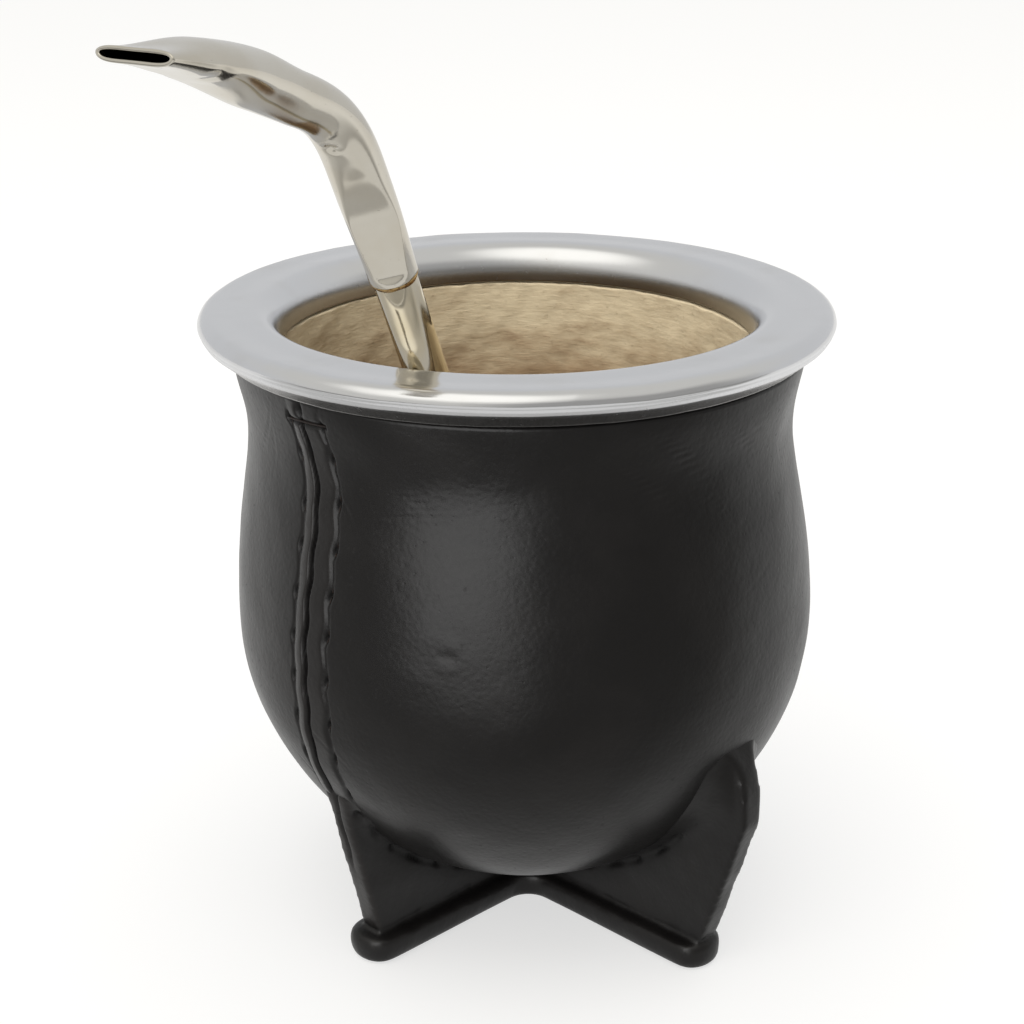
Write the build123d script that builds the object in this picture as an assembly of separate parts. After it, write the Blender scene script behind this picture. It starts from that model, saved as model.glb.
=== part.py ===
from build123d import *
import os
from math import cos, pi, radians, sin, sqrt

# A gourd cup for mate: a dried gourd in a stitched leather cover with a cross-shaped leather foot,
# a wide metal rim, and a metal drinking straw that leans on the rim and ends in a strainer.
# Millimetres, +Z up, -Y is the front. The origin is on the floor, on the axis of the gourd's belly.

# ---- Cup: overall sizes ----
rim_height = 100.0            # floor to the flat top of the rim
rim_radius = 48.0             # outermost edge of the rim
belly_radius = 45.05          # outside of the leather at its widest
belly_lift = 7.65             # floor to the underside of the belly

# ---- Leather cover ----
leather_wall = 2.0
shoulder_radius = 42.9        # outside of the leather on its way in to the neck
shoulder_drop = 27.0          # below the top of the rim
neck_radius = 41.8            # the narrowest place, below the rim
neck_drop = 15.5              # below the top of the rim
collar_radius = 43.4          # the cover flares out again where it meets the rim
collar_steepness = 1.5        # how upright the flare ends: 1 follows the line from the neck to the collar

# ---- Gourd ----
gourd_gap = 0.2               # between the gourd and its cover
gourd_wall = 4.6              # at the belly
gourd_neck_wall = 3.6
mouth_clearance = 0.2         # the gourd's mouth stands back this far from the rim's skirt

# ---- Rim ----
rim_shift = -1.15             # the rim sits a little to the left of the belly's axis
rim_edge_round = 2.2          # rounding of the outer edge
rim_lip_round = 2.8           # rounding of the inner lip
skirt_radius = 36.4           # inner wall of the rim
skirt_depth = 6.4             # flat top to the lower end of the inner wall
rim_lower_radius = 44.5       # where the sloping underside ends on the leather
rim_lower_depth = 5.6
rim_under_radius = 47.2       # where the sloping underside starts below the edge
rim_under_depth = 3.1
rim_seat_gap = 0.2            # between the rim and what it sits on
skirt_thickness = 2.0         # of the skirt that reaches down inside the leather and over the gourd

# ---- Foot: four webs in a cross over a rolled bead ----
foot_shift = 0.55             # the cross stands a little to the right of the belly's axis
foot_gap = 0.15               # between the webs and the cover above them
web_thickness = 4.4
web_overlap = 1.0             # how far a web's outline runs on into the belly before it is cut
bead_height = 4.2
bead_round = 1.5
bead_hub_half_width = 4.0     # half the bead's width at the middle of the cross
bead_tip_half_width = 4.3     # half its width at the ends
bead_inner_round = 3.4        # rounding of the corners between two arms
# One row for each arm: direction from the front, reach of the bead's end, radius at the web's
# lower end, then the web's widest radius and the height of that place.
foot_arms = {
    "front_left": (-46.6, 36.8, 33.3, 40.3, 30.5),
    "front_right": (46.6, 39.4, 37.5, 45.9, 27.5),
    "back_right": (135.0, 37.5, 36.0, 43.8, 29.5),
    "back_left": (-135.0, 37.5, 36.0, 43.8, 29.5),
}
web_merge_rise = 13.0         # from a web's widest place up to where it meets the belly
web_fullness = 0.65           # share of that rise over which the edge stays nearly upright

# ---- Straw: stem ----
straw_radius = 3.0
straw_wall = 0.6
straw_lean = 24.8             # degrees from upright
straw_aside = 5.95            # sideways from the rim's axis to the upright plane that the straw is in
straw_heading = 33.0          # degrees that the lean turns from the front to the left
lip_gap = 0.25                # between the stem and the rim's inner lip
lip_search_start = -90.0      # the lip is searched from the left side round to the front
lip_search_sweep = 120.0
lip_steps = 240               # places tried round the lip
lip_halvings = 24
stem_rise = 14.3              # along the stem, from the rim's level up to the mouthpiece
sleeve_overlap = 6.0          # how far the stem goes up into the mouthpiece

# ---- Straw: mouthpiece ----
sleeve_clearance = 0.05       # between the stem and the mouthpiece around it
sleeve_wall = 0.3
mouthpiece_wall = 0.55
mouthpiece_length = 61.4      # along its middle line
bend_start = 16.1             # along the middle line, where the bend starts and ends
bend_end = 33.0
sleeve_ease = 5.0             # length over which it turns that much
rise_after_bend = 25.4        # degrees above level
rise_at_tip = 10.7
mouthpiece_lean = 1.7         # degrees by which the mouthpiece above the sleeve leans further
# One row for each station: place along the middle line, half the width, thickness above the
# middle line, and thickness below it. Sizes change smoothly from row to row.
mouthpiece_stations = (
    (12.3, 3.87, 3.63, 3.39),
    (25.8, 4.01, 3.33, 3.24),
    (33.8, 4.01, 3.64, 3.10),
    (41.8, 4.68, 3.51, 3.61),
    (51.6, 6.13, 2.00, 3.03),
    (mouthpiece_length, 5.69, 1.19, 1.01),
)
round_until = 33.8            # up to here a section is an ellipse, then it turns to a flat slot
tip_squareness = 5.0          # 2 is an ellipse
section_spacing = 2.6
section_points = 24
spine_steps = 240
braze_length = 0.5            # ring of braze at the mouthpiece's lower end
braze_stand = 0.05            # how far the ring stands back from the mouthpiece's surface

# ---- Straw: strainer ----
strainer_length = 34.0
strainer_half_width = 8.0
strainer_half_thickness = 3.6
# One row for each section, from the blunt end up: place as a share of the length, width and
# thickness as shares of the full ones.
strainer_sections = ((0.0, 0.35, 0.5), (0.12, 0.8, 0.85), (0.35, 1.0, 1.0), (0.7, 0.72, 0.95))
strainer_hole_share = 0.4     # middle of the field of holes, as a share of the length
strainer_hole_radius = 0.6
strainer_hole_pitch = 2.6
strainer_hole_rows = 7
strainer_hole_columns = 5
floor_gap = 0.3               # between the strainer's end and the inside of the gourd


upright = Vector(0, 0, 1)


def direction(azimuth):
    """Unit vector in plan, turned from the front towards the right."""
    return Vector(sin(radians(azimuth)), -cos(radians(azimuth)), 0)


# ---------------------------------------------------------------- gourd and cover

belly_height = belly_lift + belly_radius
shoulder_height = rim_height - shoulder_drop
neck_height = rim_height - neck_drop
collar_height = rim_height - rim_lower_depth - rim_seat_gap
gourd_outset = leather_wall + gourd_gap
gourd_inset = gourd_outset + gourd_wall
gourd_top = rim_height - skirt_depth - rim_seat_gap


def belly_face(inset, neck_inset, top_radius, top_height, axis_x=0.0):
    """Half section of the cup's round body, taken in from the outside of the leather."""
    lower_radius = belly_radius - inset
    waist = Vector(lower_radius, 0, belly_height)
    bottom = Vector(0, 0, belly_height - lower_radius)
    turn = Vector(lower_radius * sin(pi / 4), 0, belly_height - lower_radius * cos(pi / 4))
    shoulder = Vector(shoulder_radius - (inset + neck_inset) / 2, 0, shoulder_height)
    neck = Vector(neck_radius - neck_inset, 0, neck_height)
    top = Vector(top_radius, 0, top_height)
    flare = Vector(top.X - neck.X, 0, collar_steepness * (top.Z - neck.Z))
    edges = [
        ThreePointArc(bottom, turn, waist),
        Spline(waist, shoulder, neck, top, tangents=[upright, flare]),
        Line(top, Vector(0, 0, top_height)),
        Line(Vector(0, 0, top_height), bottom),
    ]
    return Pos(axis_x, 0, 0) * make_face(Wire(edges).edges())


def revolved(face, axis_x=0.0):
    return revolve(face, Axis((axis_x, 0, 0), (0, 0, 1)), 360)


def belly_solid(inset, neck_inset, top_radius, top_height, axis_x=0.0):
    return revolved(belly_face(inset, neck_inset, top_radius, top_height, axis_x), axis_x)


def leather_cover():
    outside = belly_solid(0, 0, collar_radius, collar_height)
    inside = belly_solid(leather_wall, leather_wall, collar_radius - leather_wall, collar_height)
    return outside - inside


def gourd():
    """The gourd follows its cover outside; its mouth is cut round under the rim's skirt."""
    outside = belly_solid(gourd_outset, gourd_outset, collar_radius - gourd_outset, gourd_top)
    mouth_radius = skirt_radius + mouth_clearance
    neck_inset = gourd_outset + gourd_neck_wall
    inside = belly_solid(gourd_inset, neck_inset, mouth_radius, gourd_top, rim_shift)
    return outside - inside


# ---------------------------------------------------------------- rim

def rim_ring():
    def at(radius, depth):
        return Vector(radius, 0, rim_height - depth)

    lip_mid = rim_lip_round * (1 - sqrt(0.5))
    edge_mid = rim_edge_round * (1 - sqrt(0.5))
    skirt_back = skirt_radius + skirt_thickness
    edges = [
        Line(at(skirt_radius, skirt_depth), at(skirt_radius, rim_lip_round)),
        ThreePointArc(at(skirt_radius, rim_lip_round), at(skirt_radius + lip_mid, lip_mid),
                      at(skirt_radius + rim_lip_round, 0)),
        Line(at(skirt_radius + rim_lip_round, 0), at(rim_radius - rim_edge_round, 0)),
        ThreePointArc(at(rim_radius - rim_edge_round, 0), at(rim_radius - edge_mid, edge_mid),
                      at(rim_radius, rim_edge_round)),
        Line(at(rim_radius, rim_edge_round), at(rim_under_radius, rim_under_depth)),
        Line(at(rim_under_radius, rim_under_depth), at(rim_lower_radius, rim_lower_depth)),
        Line(at(rim_lower_radius, rim_lower_depth), at(skirt_back, rim_lower_depth)),
        Line(at(skirt_back, rim_lower_depth), at(skirt_back, skirt_depth)),
        Line(at(skirt_back, skirt_depth), at(skirt_radius, skirt_depth)),
    ]
    return revolved(Pos(rim_shift, 0, 0) * make_face(Wire(edges).edges()), rim_shift)


# ---------------------------------------------------------------- foot

def arm_plan(azimuth, reach):
    """One arm of the bead seen from above: a bar that widens to a round end."""
    along = direction(azimuth)
    across = Vector(-along.Y, along.X, 0)
    end = along * (reach - bead_tip_half_width)
    corners = [
        across * bead_hub_half_width,
        end + across * bead_tip_half_width,
        end - across * bead_tip_half_width,
        across * -bead_hub_half_width,
    ]
    bar = make_face(Polyline(*corners, close=True).edges())
    return bar + Pos(end.X, end.Y, 0) * Circle(bead_tip_half_width)


def bead():
    plan = Sketch()
    for azimuth, reach, *_ in foot_arms.values():
        plan += arm_plan(azimuth, reach)
    inner = plan.vertices().sort_by(lambda vertex: Vector(vertex).length)[:len(foot_arms)]
    plan = fillet(inner, bead_inner_round)
    slab = extrude(plan, bead_height)
    rims = slab.faces().sort_by(Axis.Z)[0].edges() + slab.faces().sort_by(Axis.Z)[-1].edges()
    return fillet(rims, bead_round)


def web(azimuth, toe_radius, widest, widest_height):
    """One upright web, from the middle of the cross out to its curved outer edge."""
    merge_height = widest_height + web_merge_rise
    merge_radius = sqrt(belly_radius ** 2 - (belly_height - merge_height) ** 2) - web_overlap
    toe = Vector(toe_radius, 0, bead_height / 2)
    knee = Vector(widest, 0, widest_height)
    top = Vector(merge_radius, 0, merge_height)
    edges = [
        Line(Vector(0, 0, bead_height / 2), toe),
        Line(toe, knee),
        Bezier(knee, knee + upright * web_merge_rise * web_fullness, top),
        Line(top, Vector(0, 0, merge_height)),
        Line(Vector(0, 0, merge_height), Vector(0, 0, bead_height / 2)),
    ]
    plate = extrude(make_face(Wire(edges).edges()), web_thickness / 2, both=True)
    return Rot(0, 0, azimuth - 90) * plate


def foot_base():
    foot = bead()
    for azimuth, _, toe_radius, widest, widest_height in foot_arms.values():
        foot += web(azimuth, toe_radius, widest, widest_height)
    foot = Pos(foot_shift, 0, 0) * foot
    room = belly_solid(-foot_gap, -foot_gap, collar_radius + foot_gap, collar_height)
    return foot - room


# ---------------------------------------------------------------- straw

heading = Vector(-sin(radians(straw_heading)), -cos(radians(straw_heading)), 0)
across = Vector(cos(radians(straw_heading)), -sin(radians(straw_heading)), 0)
stem_up = heading * sin(radians(straw_lean)) + upright * cos(radians(straw_lean))


def clear_of_lip(reach):
    """Distance from the stem's axis to the circle round which the rim's lip is curved."""
    point = Vector(rim_shift, 0, rim_height) + heading * reach + across * straw_aside
    nearest = rim_radius
    for step in range(lip_steps):
        turn = direction(lip_search_start + lip_search_sweep * step / lip_steps)
        centre = Vector(rim_shift, 0, rim_height - rim_lip_round) + turn * (skirt_radius + rim_lip_round)
        nearest = min(nearest, (centre - point).cross(stem_up).length)
    return nearest


def stem_at_rim_level():
    """Where the stem's axis crosses the rim's level when the stem leans on the inner lip."""
    near, far = 0.0, skirt_radius
    wanted = straw_radius + lip_gap + rim_lip_round
    for _ in range(lip_halvings):
        middle = (near + far) / 2
        if clear_of_lip(middle) > wanted:
            near = middle
        else:
            far = middle
    return Vector(rim_shift, 0, rim_height) + heading * near + across * straw_aside


rim_crossing = stem_at_rim_level()
sleeve_start = rim_crossing + stem_up * stem_rise


def stem_angle(u):
    """Angle of the mouthpiece's middle line above level, at a place along it."""
    eased = min(max((u - sleeve_overlap) / sleeve_ease, 0), 1)
    start = radians(90 - straw_lean - mouthpiece_lean * eased)
    middle = radians(rise_after_bend)
    end = radians(rise_at_tip)
    bend = min(max((u - bend_start) / (bend_end - bend_start), 0), 1)
    bend = bend * bend * (3 - 2 * bend)
    half = (bend_start + bend_end) / 2
    droop = min(max((u - half) / (mouthpiece_length - half), 0), 1)
    return start + (middle - start) * bend + (end - middle) * droop


def spine_point(u):
    point = sleeve_start
    step = u / spine_steps
    for index in range(spine_steps):
        angle = stem_angle((index + 0.5) * step)
        point += (heading * cos(angle) + upright * sin(angle)) * step
    return point


def section_plane(u):
    angle = stem_angle(u)
    normal = heading * cos(angle) + upright * sin(angle)
    return Plane(origin=spine_point(u), x_dir=across, z_dir=normal)


def station_rows():
    return ((0.0, sleeve_radius, sleeve_radius, sleeve_radius), *mouthpiece_stations)


def station_slope(rows, index, column):
    """Rate of change at a row, level where the size turns, so that nothing overshoots."""
    if index in (0, len(rows) - 1):
        return 0.0
    before = (rows[index][column] - rows[index - 1][column]) / (rows[index][0] - rows[index - 1][0])
    after = (rows[index + 1][column] - rows[index][column]) / (rows[index + 1][0] - rows[index][0])
    if before * after <= 0:
        return 0.0
    return 2 * before * after / (before + after)


def station_size(u, column):
    """A size between two rows, by a cubic that meets both rows and their slopes."""
    rows = station_rows()
    index = max(i for i in range(len(rows) - 1) if rows[i][0] <= u)
    span = rows[index + 1][0] - rows[index][0]
    t = (u - rows[index][0]) / span
    start, end = rows[index][column], rows[index + 1][column]
    leave = station_slope(rows, index, column) * span
    arrive = station_slope(rows, index + 1, column) * span
    return (start * (1 + 2 * t) * (1 - t) ** 2 + leave * t * (1 - t) ** 2
            + end * t * t * (3 - 2 * t) - arrive * t * t * (1 - t))


def section_face(u, inset):
    """A section across the mouthpiece: round at the sleeve and a flat slot at the tip."""
    half_width = station_size(u, 1) - inset
    above = station_size(u, 2) - inset
    below = station_size(u, 3) - inset
    flattening = max(u - round_until, 0) / (mouthpiece_length - round_until)
    squareness = 2 + (tip_squareness - 2) * flattening
    points = []
    for index in range(section_points):
        turn = 2 * pi * index / section_points
        sideways = abs(cos(turn)) ** (2 / squareness) * half_width
        x = sideways if cos(turn) >= 0 else -sideways
        y = (above if sin(turn) >= 0 else below) * sin(turn)
        points.append(Vector(x, -y, 0))
    return section_plane(u) * make_face(Spline(*points, periodic=True).edges())


def mouthpiece_loft(inset):
    count = round(mouthpiece_length / section_spacing)
    faces = [section_face(mouthpiece_length * index / count, inset) for index in range(count + 1)]
    return loft(faces, ruled=True)


def tube(start, end, radius):
    plane = Plane(origin=start, z_dir=end - start)
    return extrude(plane * Circle(radius), (end - start).length)


sleeve_bore = straw_radius + sleeve_clearance
sleeve_radius = sleeve_bore + sleeve_wall


def straw_mouthpiece():
    socket = tube(sleeve_start, sleeve_start + stem_up * (sleeve_overlap + sleeve_clearance), sleeve_bore)
    return mouthpiece_loft(0) - mouthpiece_loft(mouthpiece_wall) - socket


def straw_braze():
    top = sleeve_start - stem_up * sleeve_clearance
    bottom = top - stem_up * braze_length
    return tube(bottom, top, sleeve_radius - braze_stand) - tube(bottom, top, sleeve_bore)


def strainer_end():
    """Lowest point of the straw, just above the inside of the gourd."""
    inner = belly_radius - gourd_inset - floor_gap
    centre = Vector(rim_shift, 0, belly_height)
    along = (rim_crossing - centre).dot(stem_up)
    end_width = strainer_half_width * strainer_sections[0][1]
    aside = (rim_crossing - centre).cross(stem_up).length + end_width
    return rim_crossing - stem_up * (along + sqrt(inner ** 2 - aside ** 2))


strainer_bottom = strainer_end()
strainer_top = strainer_bottom + stem_up * strainer_length


def straw_stem():
    top = sleeve_start + stem_up * sleeve_overlap
    return tube(strainer_top, top, straw_radius) - tube(strainer_top, top, straw_radius - straw_wall)


def strainer_bulb():
    """A flattened bulb, widest near its lower end."""
    faces = []
    for share, wide, thick in strainer_sections:
        centre = strainer_bottom + stem_up * (strainer_length * share)
        outline = Ellipse(strainer_half_width * wide, strainer_half_thickness * thick)
        faces.append(Plane(origin=centre, x_dir=across, z_dir=stem_up) * outline)
    faces.append(Plane(origin=strainer_top, x_dir=across, z_dir=stem_up) * Circle(straw_radius))
    return loft(faces)


def straw_strainer():
    bulb = strainer_bulb()
    facing = stem_up.cross(across)
    for row in range(strainer_hole_rows):
        for column in range(strainer_hole_columns):
            along = strainer_hole_pitch * (row - (strainer_hole_rows - 1) / 2)
            aside = strainer_hole_pitch * (column - (strainer_hole_columns - 1) / 2)
            if abs(aside) + abs(along) / 2 > strainer_half_width - strainer_hole_radius * 2:
                continue
            middle = strainer_bottom + stem_up * (strainer_length * strainer_hole_share + along) + across * aside
            through = facing * strainer_half_width
            bulb -= tube(middle - through, middle + through, strainer_hole_radius)
    return bulb


# ---------------------------------------------------------------- pieces

os.makedirs("parts", exist_ok=True)
pieces = {
    "gourd": gourd(),
    "leather_cover": leather_cover(),
    "foot_base": foot_base(),
    "rim_ring": rim_ring(),
    "straw_stem": straw_stem(),
    "straw_braze": straw_braze(),
    "straw_mouthpiece": straw_mouthpiece(),
    "straw_strainer": straw_strainer(),
}
for name, piece in pieces.items():
    export_step(piece, f"parts/{name}.step")
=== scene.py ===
"""A mate cup: a gourd in a stitched black leather cover on a cross-shaped leather foot, with a
wide steel rim and a plated drinking straw that leans on it. Sizes are in millimetres until a
mesh is made."""

import logging
import math
from dataclasses import dataclass, field
from enum import Enum

import bpy
import numpy as np
from mathutils import Euler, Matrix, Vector


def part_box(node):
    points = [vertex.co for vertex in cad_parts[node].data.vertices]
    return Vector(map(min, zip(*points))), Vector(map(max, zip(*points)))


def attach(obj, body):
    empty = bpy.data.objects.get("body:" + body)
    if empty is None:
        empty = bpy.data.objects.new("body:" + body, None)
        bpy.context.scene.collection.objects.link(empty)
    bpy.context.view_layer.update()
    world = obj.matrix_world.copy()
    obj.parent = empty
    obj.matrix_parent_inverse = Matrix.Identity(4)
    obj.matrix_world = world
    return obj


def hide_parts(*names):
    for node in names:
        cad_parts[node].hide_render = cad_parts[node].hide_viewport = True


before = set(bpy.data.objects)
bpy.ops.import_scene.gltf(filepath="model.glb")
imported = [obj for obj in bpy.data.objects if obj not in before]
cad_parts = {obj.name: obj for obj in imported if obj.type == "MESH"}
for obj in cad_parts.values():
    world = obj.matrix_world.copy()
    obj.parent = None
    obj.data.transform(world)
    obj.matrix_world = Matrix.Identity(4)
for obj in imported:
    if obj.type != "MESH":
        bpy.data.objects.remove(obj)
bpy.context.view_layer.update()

MM = 0.001
BODY = "root"
log = logging.getLogger("mate_cup")


# ---------------------------------------------------------------- small maths

def ease(value: np.ndarray | float, start: float, end: float) -> np.ndarray:
    """Goes smoothly from 0 at start to 1 at end.

    Args:
        value: numbers to grade.
        start: where the result is 0.
        end: where the result is 1.

    Returns:
        Numbers from 0 to 1.
    """
    t = np.clip((np.asarray(value, float) - start) / (end - start), 0.0, 1.0)
    return t * t * (3 - 2 * t)


def bell(value: np.ndarray, width: float) -> np.ndarray:
    """A smooth bump that is 1 at 0 and falls away over the width."""
    return np.exp(-(value / width) ** 2)


def turned(azimuth: float) -> np.ndarray:
    """Unit vector in plan, turned from the front towards the right, for degrees."""
    angle = math.radians(azimuth)
    return np.array([math.sin(angle), -math.cos(angle), 0.0])


def clamped_spline(points: list[tuple[float, float]], start: tuple[float, float],
                   end: tuple[float, float], count: int) -> np.ndarray:
    """A smooth plane curve through points with given end directions.

    Args:
        points: radius and height of each point on the way.
        start: direction at the first point.
        end: direction at the last point.
        count: how many samples to return.

    Returns:
        Array of count rows of radius and height.
    """
    knots = np.array(points, float)
    spans = np.linalg.norm(np.diff(knots, axis=0), axis=1)
    size = len(knots)
    matrix = np.eye(size)
    right = np.zeros((size, 2))
    right[0] = np.array(start) / np.linalg.norm(start)
    right[-1] = np.array(end) / np.linalg.norm(end)
    for i in range(1, size - 1):
        before, after = spans[i - 1], spans[i]
        matrix[i, i - 1:i + 2] = after, 2 * (before + after), before
        right[i] = 3 * ((knots[i + 1] - knots[i]) * before / after
                        + (knots[i] - knots[i - 1]) * after / before)
    slopes = np.linalg.solve(matrix, right)
    places = np.linspace(0, spans.sum(), count)
    starts = np.concatenate([[0], np.cumsum(spans)])
    index = np.clip(np.searchsorted(starts, places, side="right") - 1, 0, size - 2)
    span = spans[index][:, None]
    t = (places - starts[index])[:, None] / span
    return (knots[index] * (1 + 2 * t) * (1 - t) ** 2 + slopes[index] * span * t * (1 - t) ** 2
            + knots[index + 1] * t * t * (3 - 2 * t) - slopes[index + 1] * span * t * t * (1 - t))


def arc(centre: tuple[float, float], radius: float, start: float, end: float,
        count: int) -> np.ndarray:
    """Points round a circle in a half section, for angles in degrees from outward."""
    angles = np.radians(np.linspace(start, end, count))
    return np.stack([centre[0] + radius * np.cos(angles), centre[1] + radius * np.sin(angles)], 1)


def soft_field(points: np.ndarray, wavelength: float, seed: int, waves: int = 14) -> np.ndarray:
    """A smooth irregular field of about unit size, the same on every run.

    Args:
        points: places in millimetres, shape (..., 3).
        wavelength: rough distance between swellings.
        seed: number that picks the pattern.
        waves: how many plane waves are summed.

    Returns:
        One number for each place.
    """
    rng = np.random.default_rng(seed)
    total = np.zeros(points.shape[:-1])
    for _ in range(waves):
        way = rng.normal(size=3)
        way *= 2 * math.pi / (np.linalg.norm(way) * wavelength * rng.uniform(0.7, 1.5))
        total += np.sin(points @ way + rng.uniform(0, 2 * math.pi))
    return total / math.sqrt(waves / 2)


# ---------------------------------------------------------------- meshes

@dataclass
class Skin:
    """A surface made of rows of points, joined into four-sided faces."""

    rows: np.ndarray
    close_rows: bool = False
    end_caps: bool = False

    def faces(self) -> tuple[np.ndarray, list[list[int]]]:
        """Corner points and faces.

        Returns:
            Points in millimetres and a list of faces by point number.
        """
        count, around = self.rows.shape[:2]
        points = self.rows.reshape(-1, 3)
        last = count if self.close_rows else count - 1
        row, col = np.meshgrid(np.arange(last), np.arange(around), indexing="ij")
        above, beside = (row + 1) % count, (col + 1) % around
        quads = np.stack([row * around + col, row * around + beside,
                          above * around + beside, above * around + col], -1).reshape(-1, 4)
        faces = quads.tolist()
        if self.end_caps:
            poles = [self.rows[0].mean(0), self.rows[-1].mean(0)]
            points = np.vstack([points, poles])
            first, final = count * around, count * around + 1
            for col in range(around):
                beside = (col + 1) % around
                faces.append([first, beside, col])
                faces.append([final, (count - 1) * around + col, (count - 1) * around + beside])
        return points, faces

    def mesh(self, name: str) -> bpy.types.Object:
        """An object of that name with smooth shading and outward faces."""
        points, faces = self.faces()
        return solid(name, points, faces)


def solid(name: str, points: np.ndarray, faces: list[list[int]]) -> bpy.types.Object:
    """Makes an object from points in millimetres.

    Args:
        name: the piece's name.
        points: corner points.
        faces: faces by point number, all turned the same way.

    Returns:
        The new object, in the scene, with its faces turned outward.
    """
    data = bpy.data.meshes.new(name)
    data.from_pydata((points * MM).tolist(), [], faces)
    data.update()
    if signed_volume(data) < 0:
        data.flip_normals()
    data.shade_smooth()
    piece = bpy.data.objects.new(name, data)
    bpy.context.scene.collection.objects.link(piece)
    return piece


def signed_volume(data: bpy.types.Mesh) -> float:
    """Volume inside a closed mesh, below zero where its faces look inward.

    Args:
        data: a closed mesh.

    Returns:
        The volume in cubic metres.
    """
    data.calc_loop_triangles()
    corners = np.empty(len(data.vertices) * 3)
    data.vertices.foreach_get("co", corners)
    corners = corners.reshape(-1, 3)
    index = np.empty(len(data.loop_triangles) * 3, int)
    data.loop_triangles.foreach_get("vertices", index)
    a, b, c = corners[index.reshape(-1, 3)].transpose(1, 0, 2)
    return float(np.einsum("ij,ij->i", a, np.cross(b, c)).sum() / 6)


def points_of(piece: bpy.types.Object) -> np.ndarray:
    """Corner points of an object's mesh, in millimetres.

    Args:
        piece: a mesh object.

    Returns:
        Rows of x, y and z.
    """
    flat = np.empty(len(piece.data.vertices) * 3)
    piece.data.vertices.foreach_get("co", flat)
    return flat.reshape(-1, 3) / MM


def set_points(piece: bpy.types.Object, points: np.ndarray) -> None:
    """Moves the corner points of an object's mesh."""
    piece.data.vertices.foreach_set("co", (points * MM).ravel())
    piece.data.update()


def normals_of(piece: bpy.types.Object) -> np.ndarray:
    """Directions that the mesh faces at its corner points.

    Args:
        piece: a mesh object.

    Returns:
        Rows of unit vectors.
    """
    flat = np.empty(len(piece.data.vertices) * 3)
    piece.data.vertex_normals.foreach_get("vector", flat)
    return flat.reshape(-1, 3)


def paint(piece: bpy.types.Object, name: str, values: np.ndarray) -> None:
    """Stores a number at each corner point for the finish to read."""
    layer = piece.data.attributes.new(name, "FLOAT", "POINT")
    layer.data.foreach_set("value", np.asarray(values, np.float32).ravel())


def apply_modifiers(piece: bpy.types.Object) -> None:
    """Turns what the modifiers show into the object's own mesh.

    Args:
        piece: a mesh object with modifiers.
    """
    shown = piece.evaluated_get(bpy.context.evaluated_depsgraph_get())
    data = bpy.data.meshes.new_from_object(shown)
    old = piece.data
    piece.modifiers.clear()
    piece.data = data
    bpy.data.meshes.remove(old)
    data.shade_smooth()


def place(piece: bpy.types.Object, material: bpy.types.Material, slot: str,
          *nodes: str) -> bpy.types.Object:
    """Dresses a piece and says which body it rides on and which nodes it stands for.

    Args:
        piece: the piece.
        material: its finish.
        slot: name of the finish; not used.
        nodes: names of the solid model's nodes that it replaces.

    Returns:
        The same piece.
    """
    piece.data.materials.clear()
    piece.data.materials.append(material)
    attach(piece, BODY)
    if nodes:
        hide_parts(*nodes)
    log.info("%s: %d points", piece.name, len(piece.data.vertices))
    return piece


def lathe(profile: np.ndarray, angles: np.ndarray, axis_x: float = 0.0) -> np.ndarray:
    """Turns a half section round an upright axis.

    Args:
        profile: rows of radius and height.
        angles: azimuths in radians from the front towards the right.
        axis_x: where the axis stands.

    Returns:
        Array of points, profile rows by azimuths.
    """
    radius, height = profile[:, 0][:, None], profile[:, 1][:, None]
    return np.stack([radius * np.sin(angles) + axis_x, -radius * np.cos(angles),
                     height + 0 * angles], -1)


def even_angles(count: int) -> np.ndarray:
    """Azimuths all the way round, in radians."""
    return np.linspace(-math.pi, math.pi, count, endpoint=False)


def pipe(path: np.ndarray, radius: float, around: int = 8) -> Skin:
    """A thin round thread along a path, with closed ends.

    Args:
        path: points along the thread.
        radius: half the thread's thickness.
        around: points in a ring.

    Returns:
        The thread's surface.
    """
    ahead = np.gradient(path, axis=0)
    ahead /= np.linalg.norm(ahead, axis=1)[:, None]
    side = np.cross(ahead, [0.31, 0.22, 0.92])
    side /= np.linalg.norm(side, axis=1)[:, None]
    over = np.cross(ahead, side)
    turn = np.linspace(0, 2 * math.pi, around, endpoint=False)
    taper = np.sqrt(np.clip(1 - np.linspace(-1, 1, len(path)) ** 6, 0.1, 1))[:, None, None]
    ring = side[:, None] * np.cos(turn)[:, None] + over[:, None] * np.sin(turn)[:, None]
    return Skin(path[:, None] + ring * radius * taper, end_caps=True)


def joined(name: str, skins: list[Skin]) -> bpy.types.Object:
    """One object made of several closed skins.

    Args:
        name: the object's name.
        skins: the closed surfaces.

    Returns:
        The new object.
    """
    points, faces, start = [], [], 0
    for skin in skins:
        more, corners = skin.faces()
        points.append(more)
        faces += [[corner + start for corner in face] for face in corners]
        start += len(more)
    return solid(name, np.vstack(points), faces)


# ---------------------------------------------------------------- shader nodes

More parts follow.
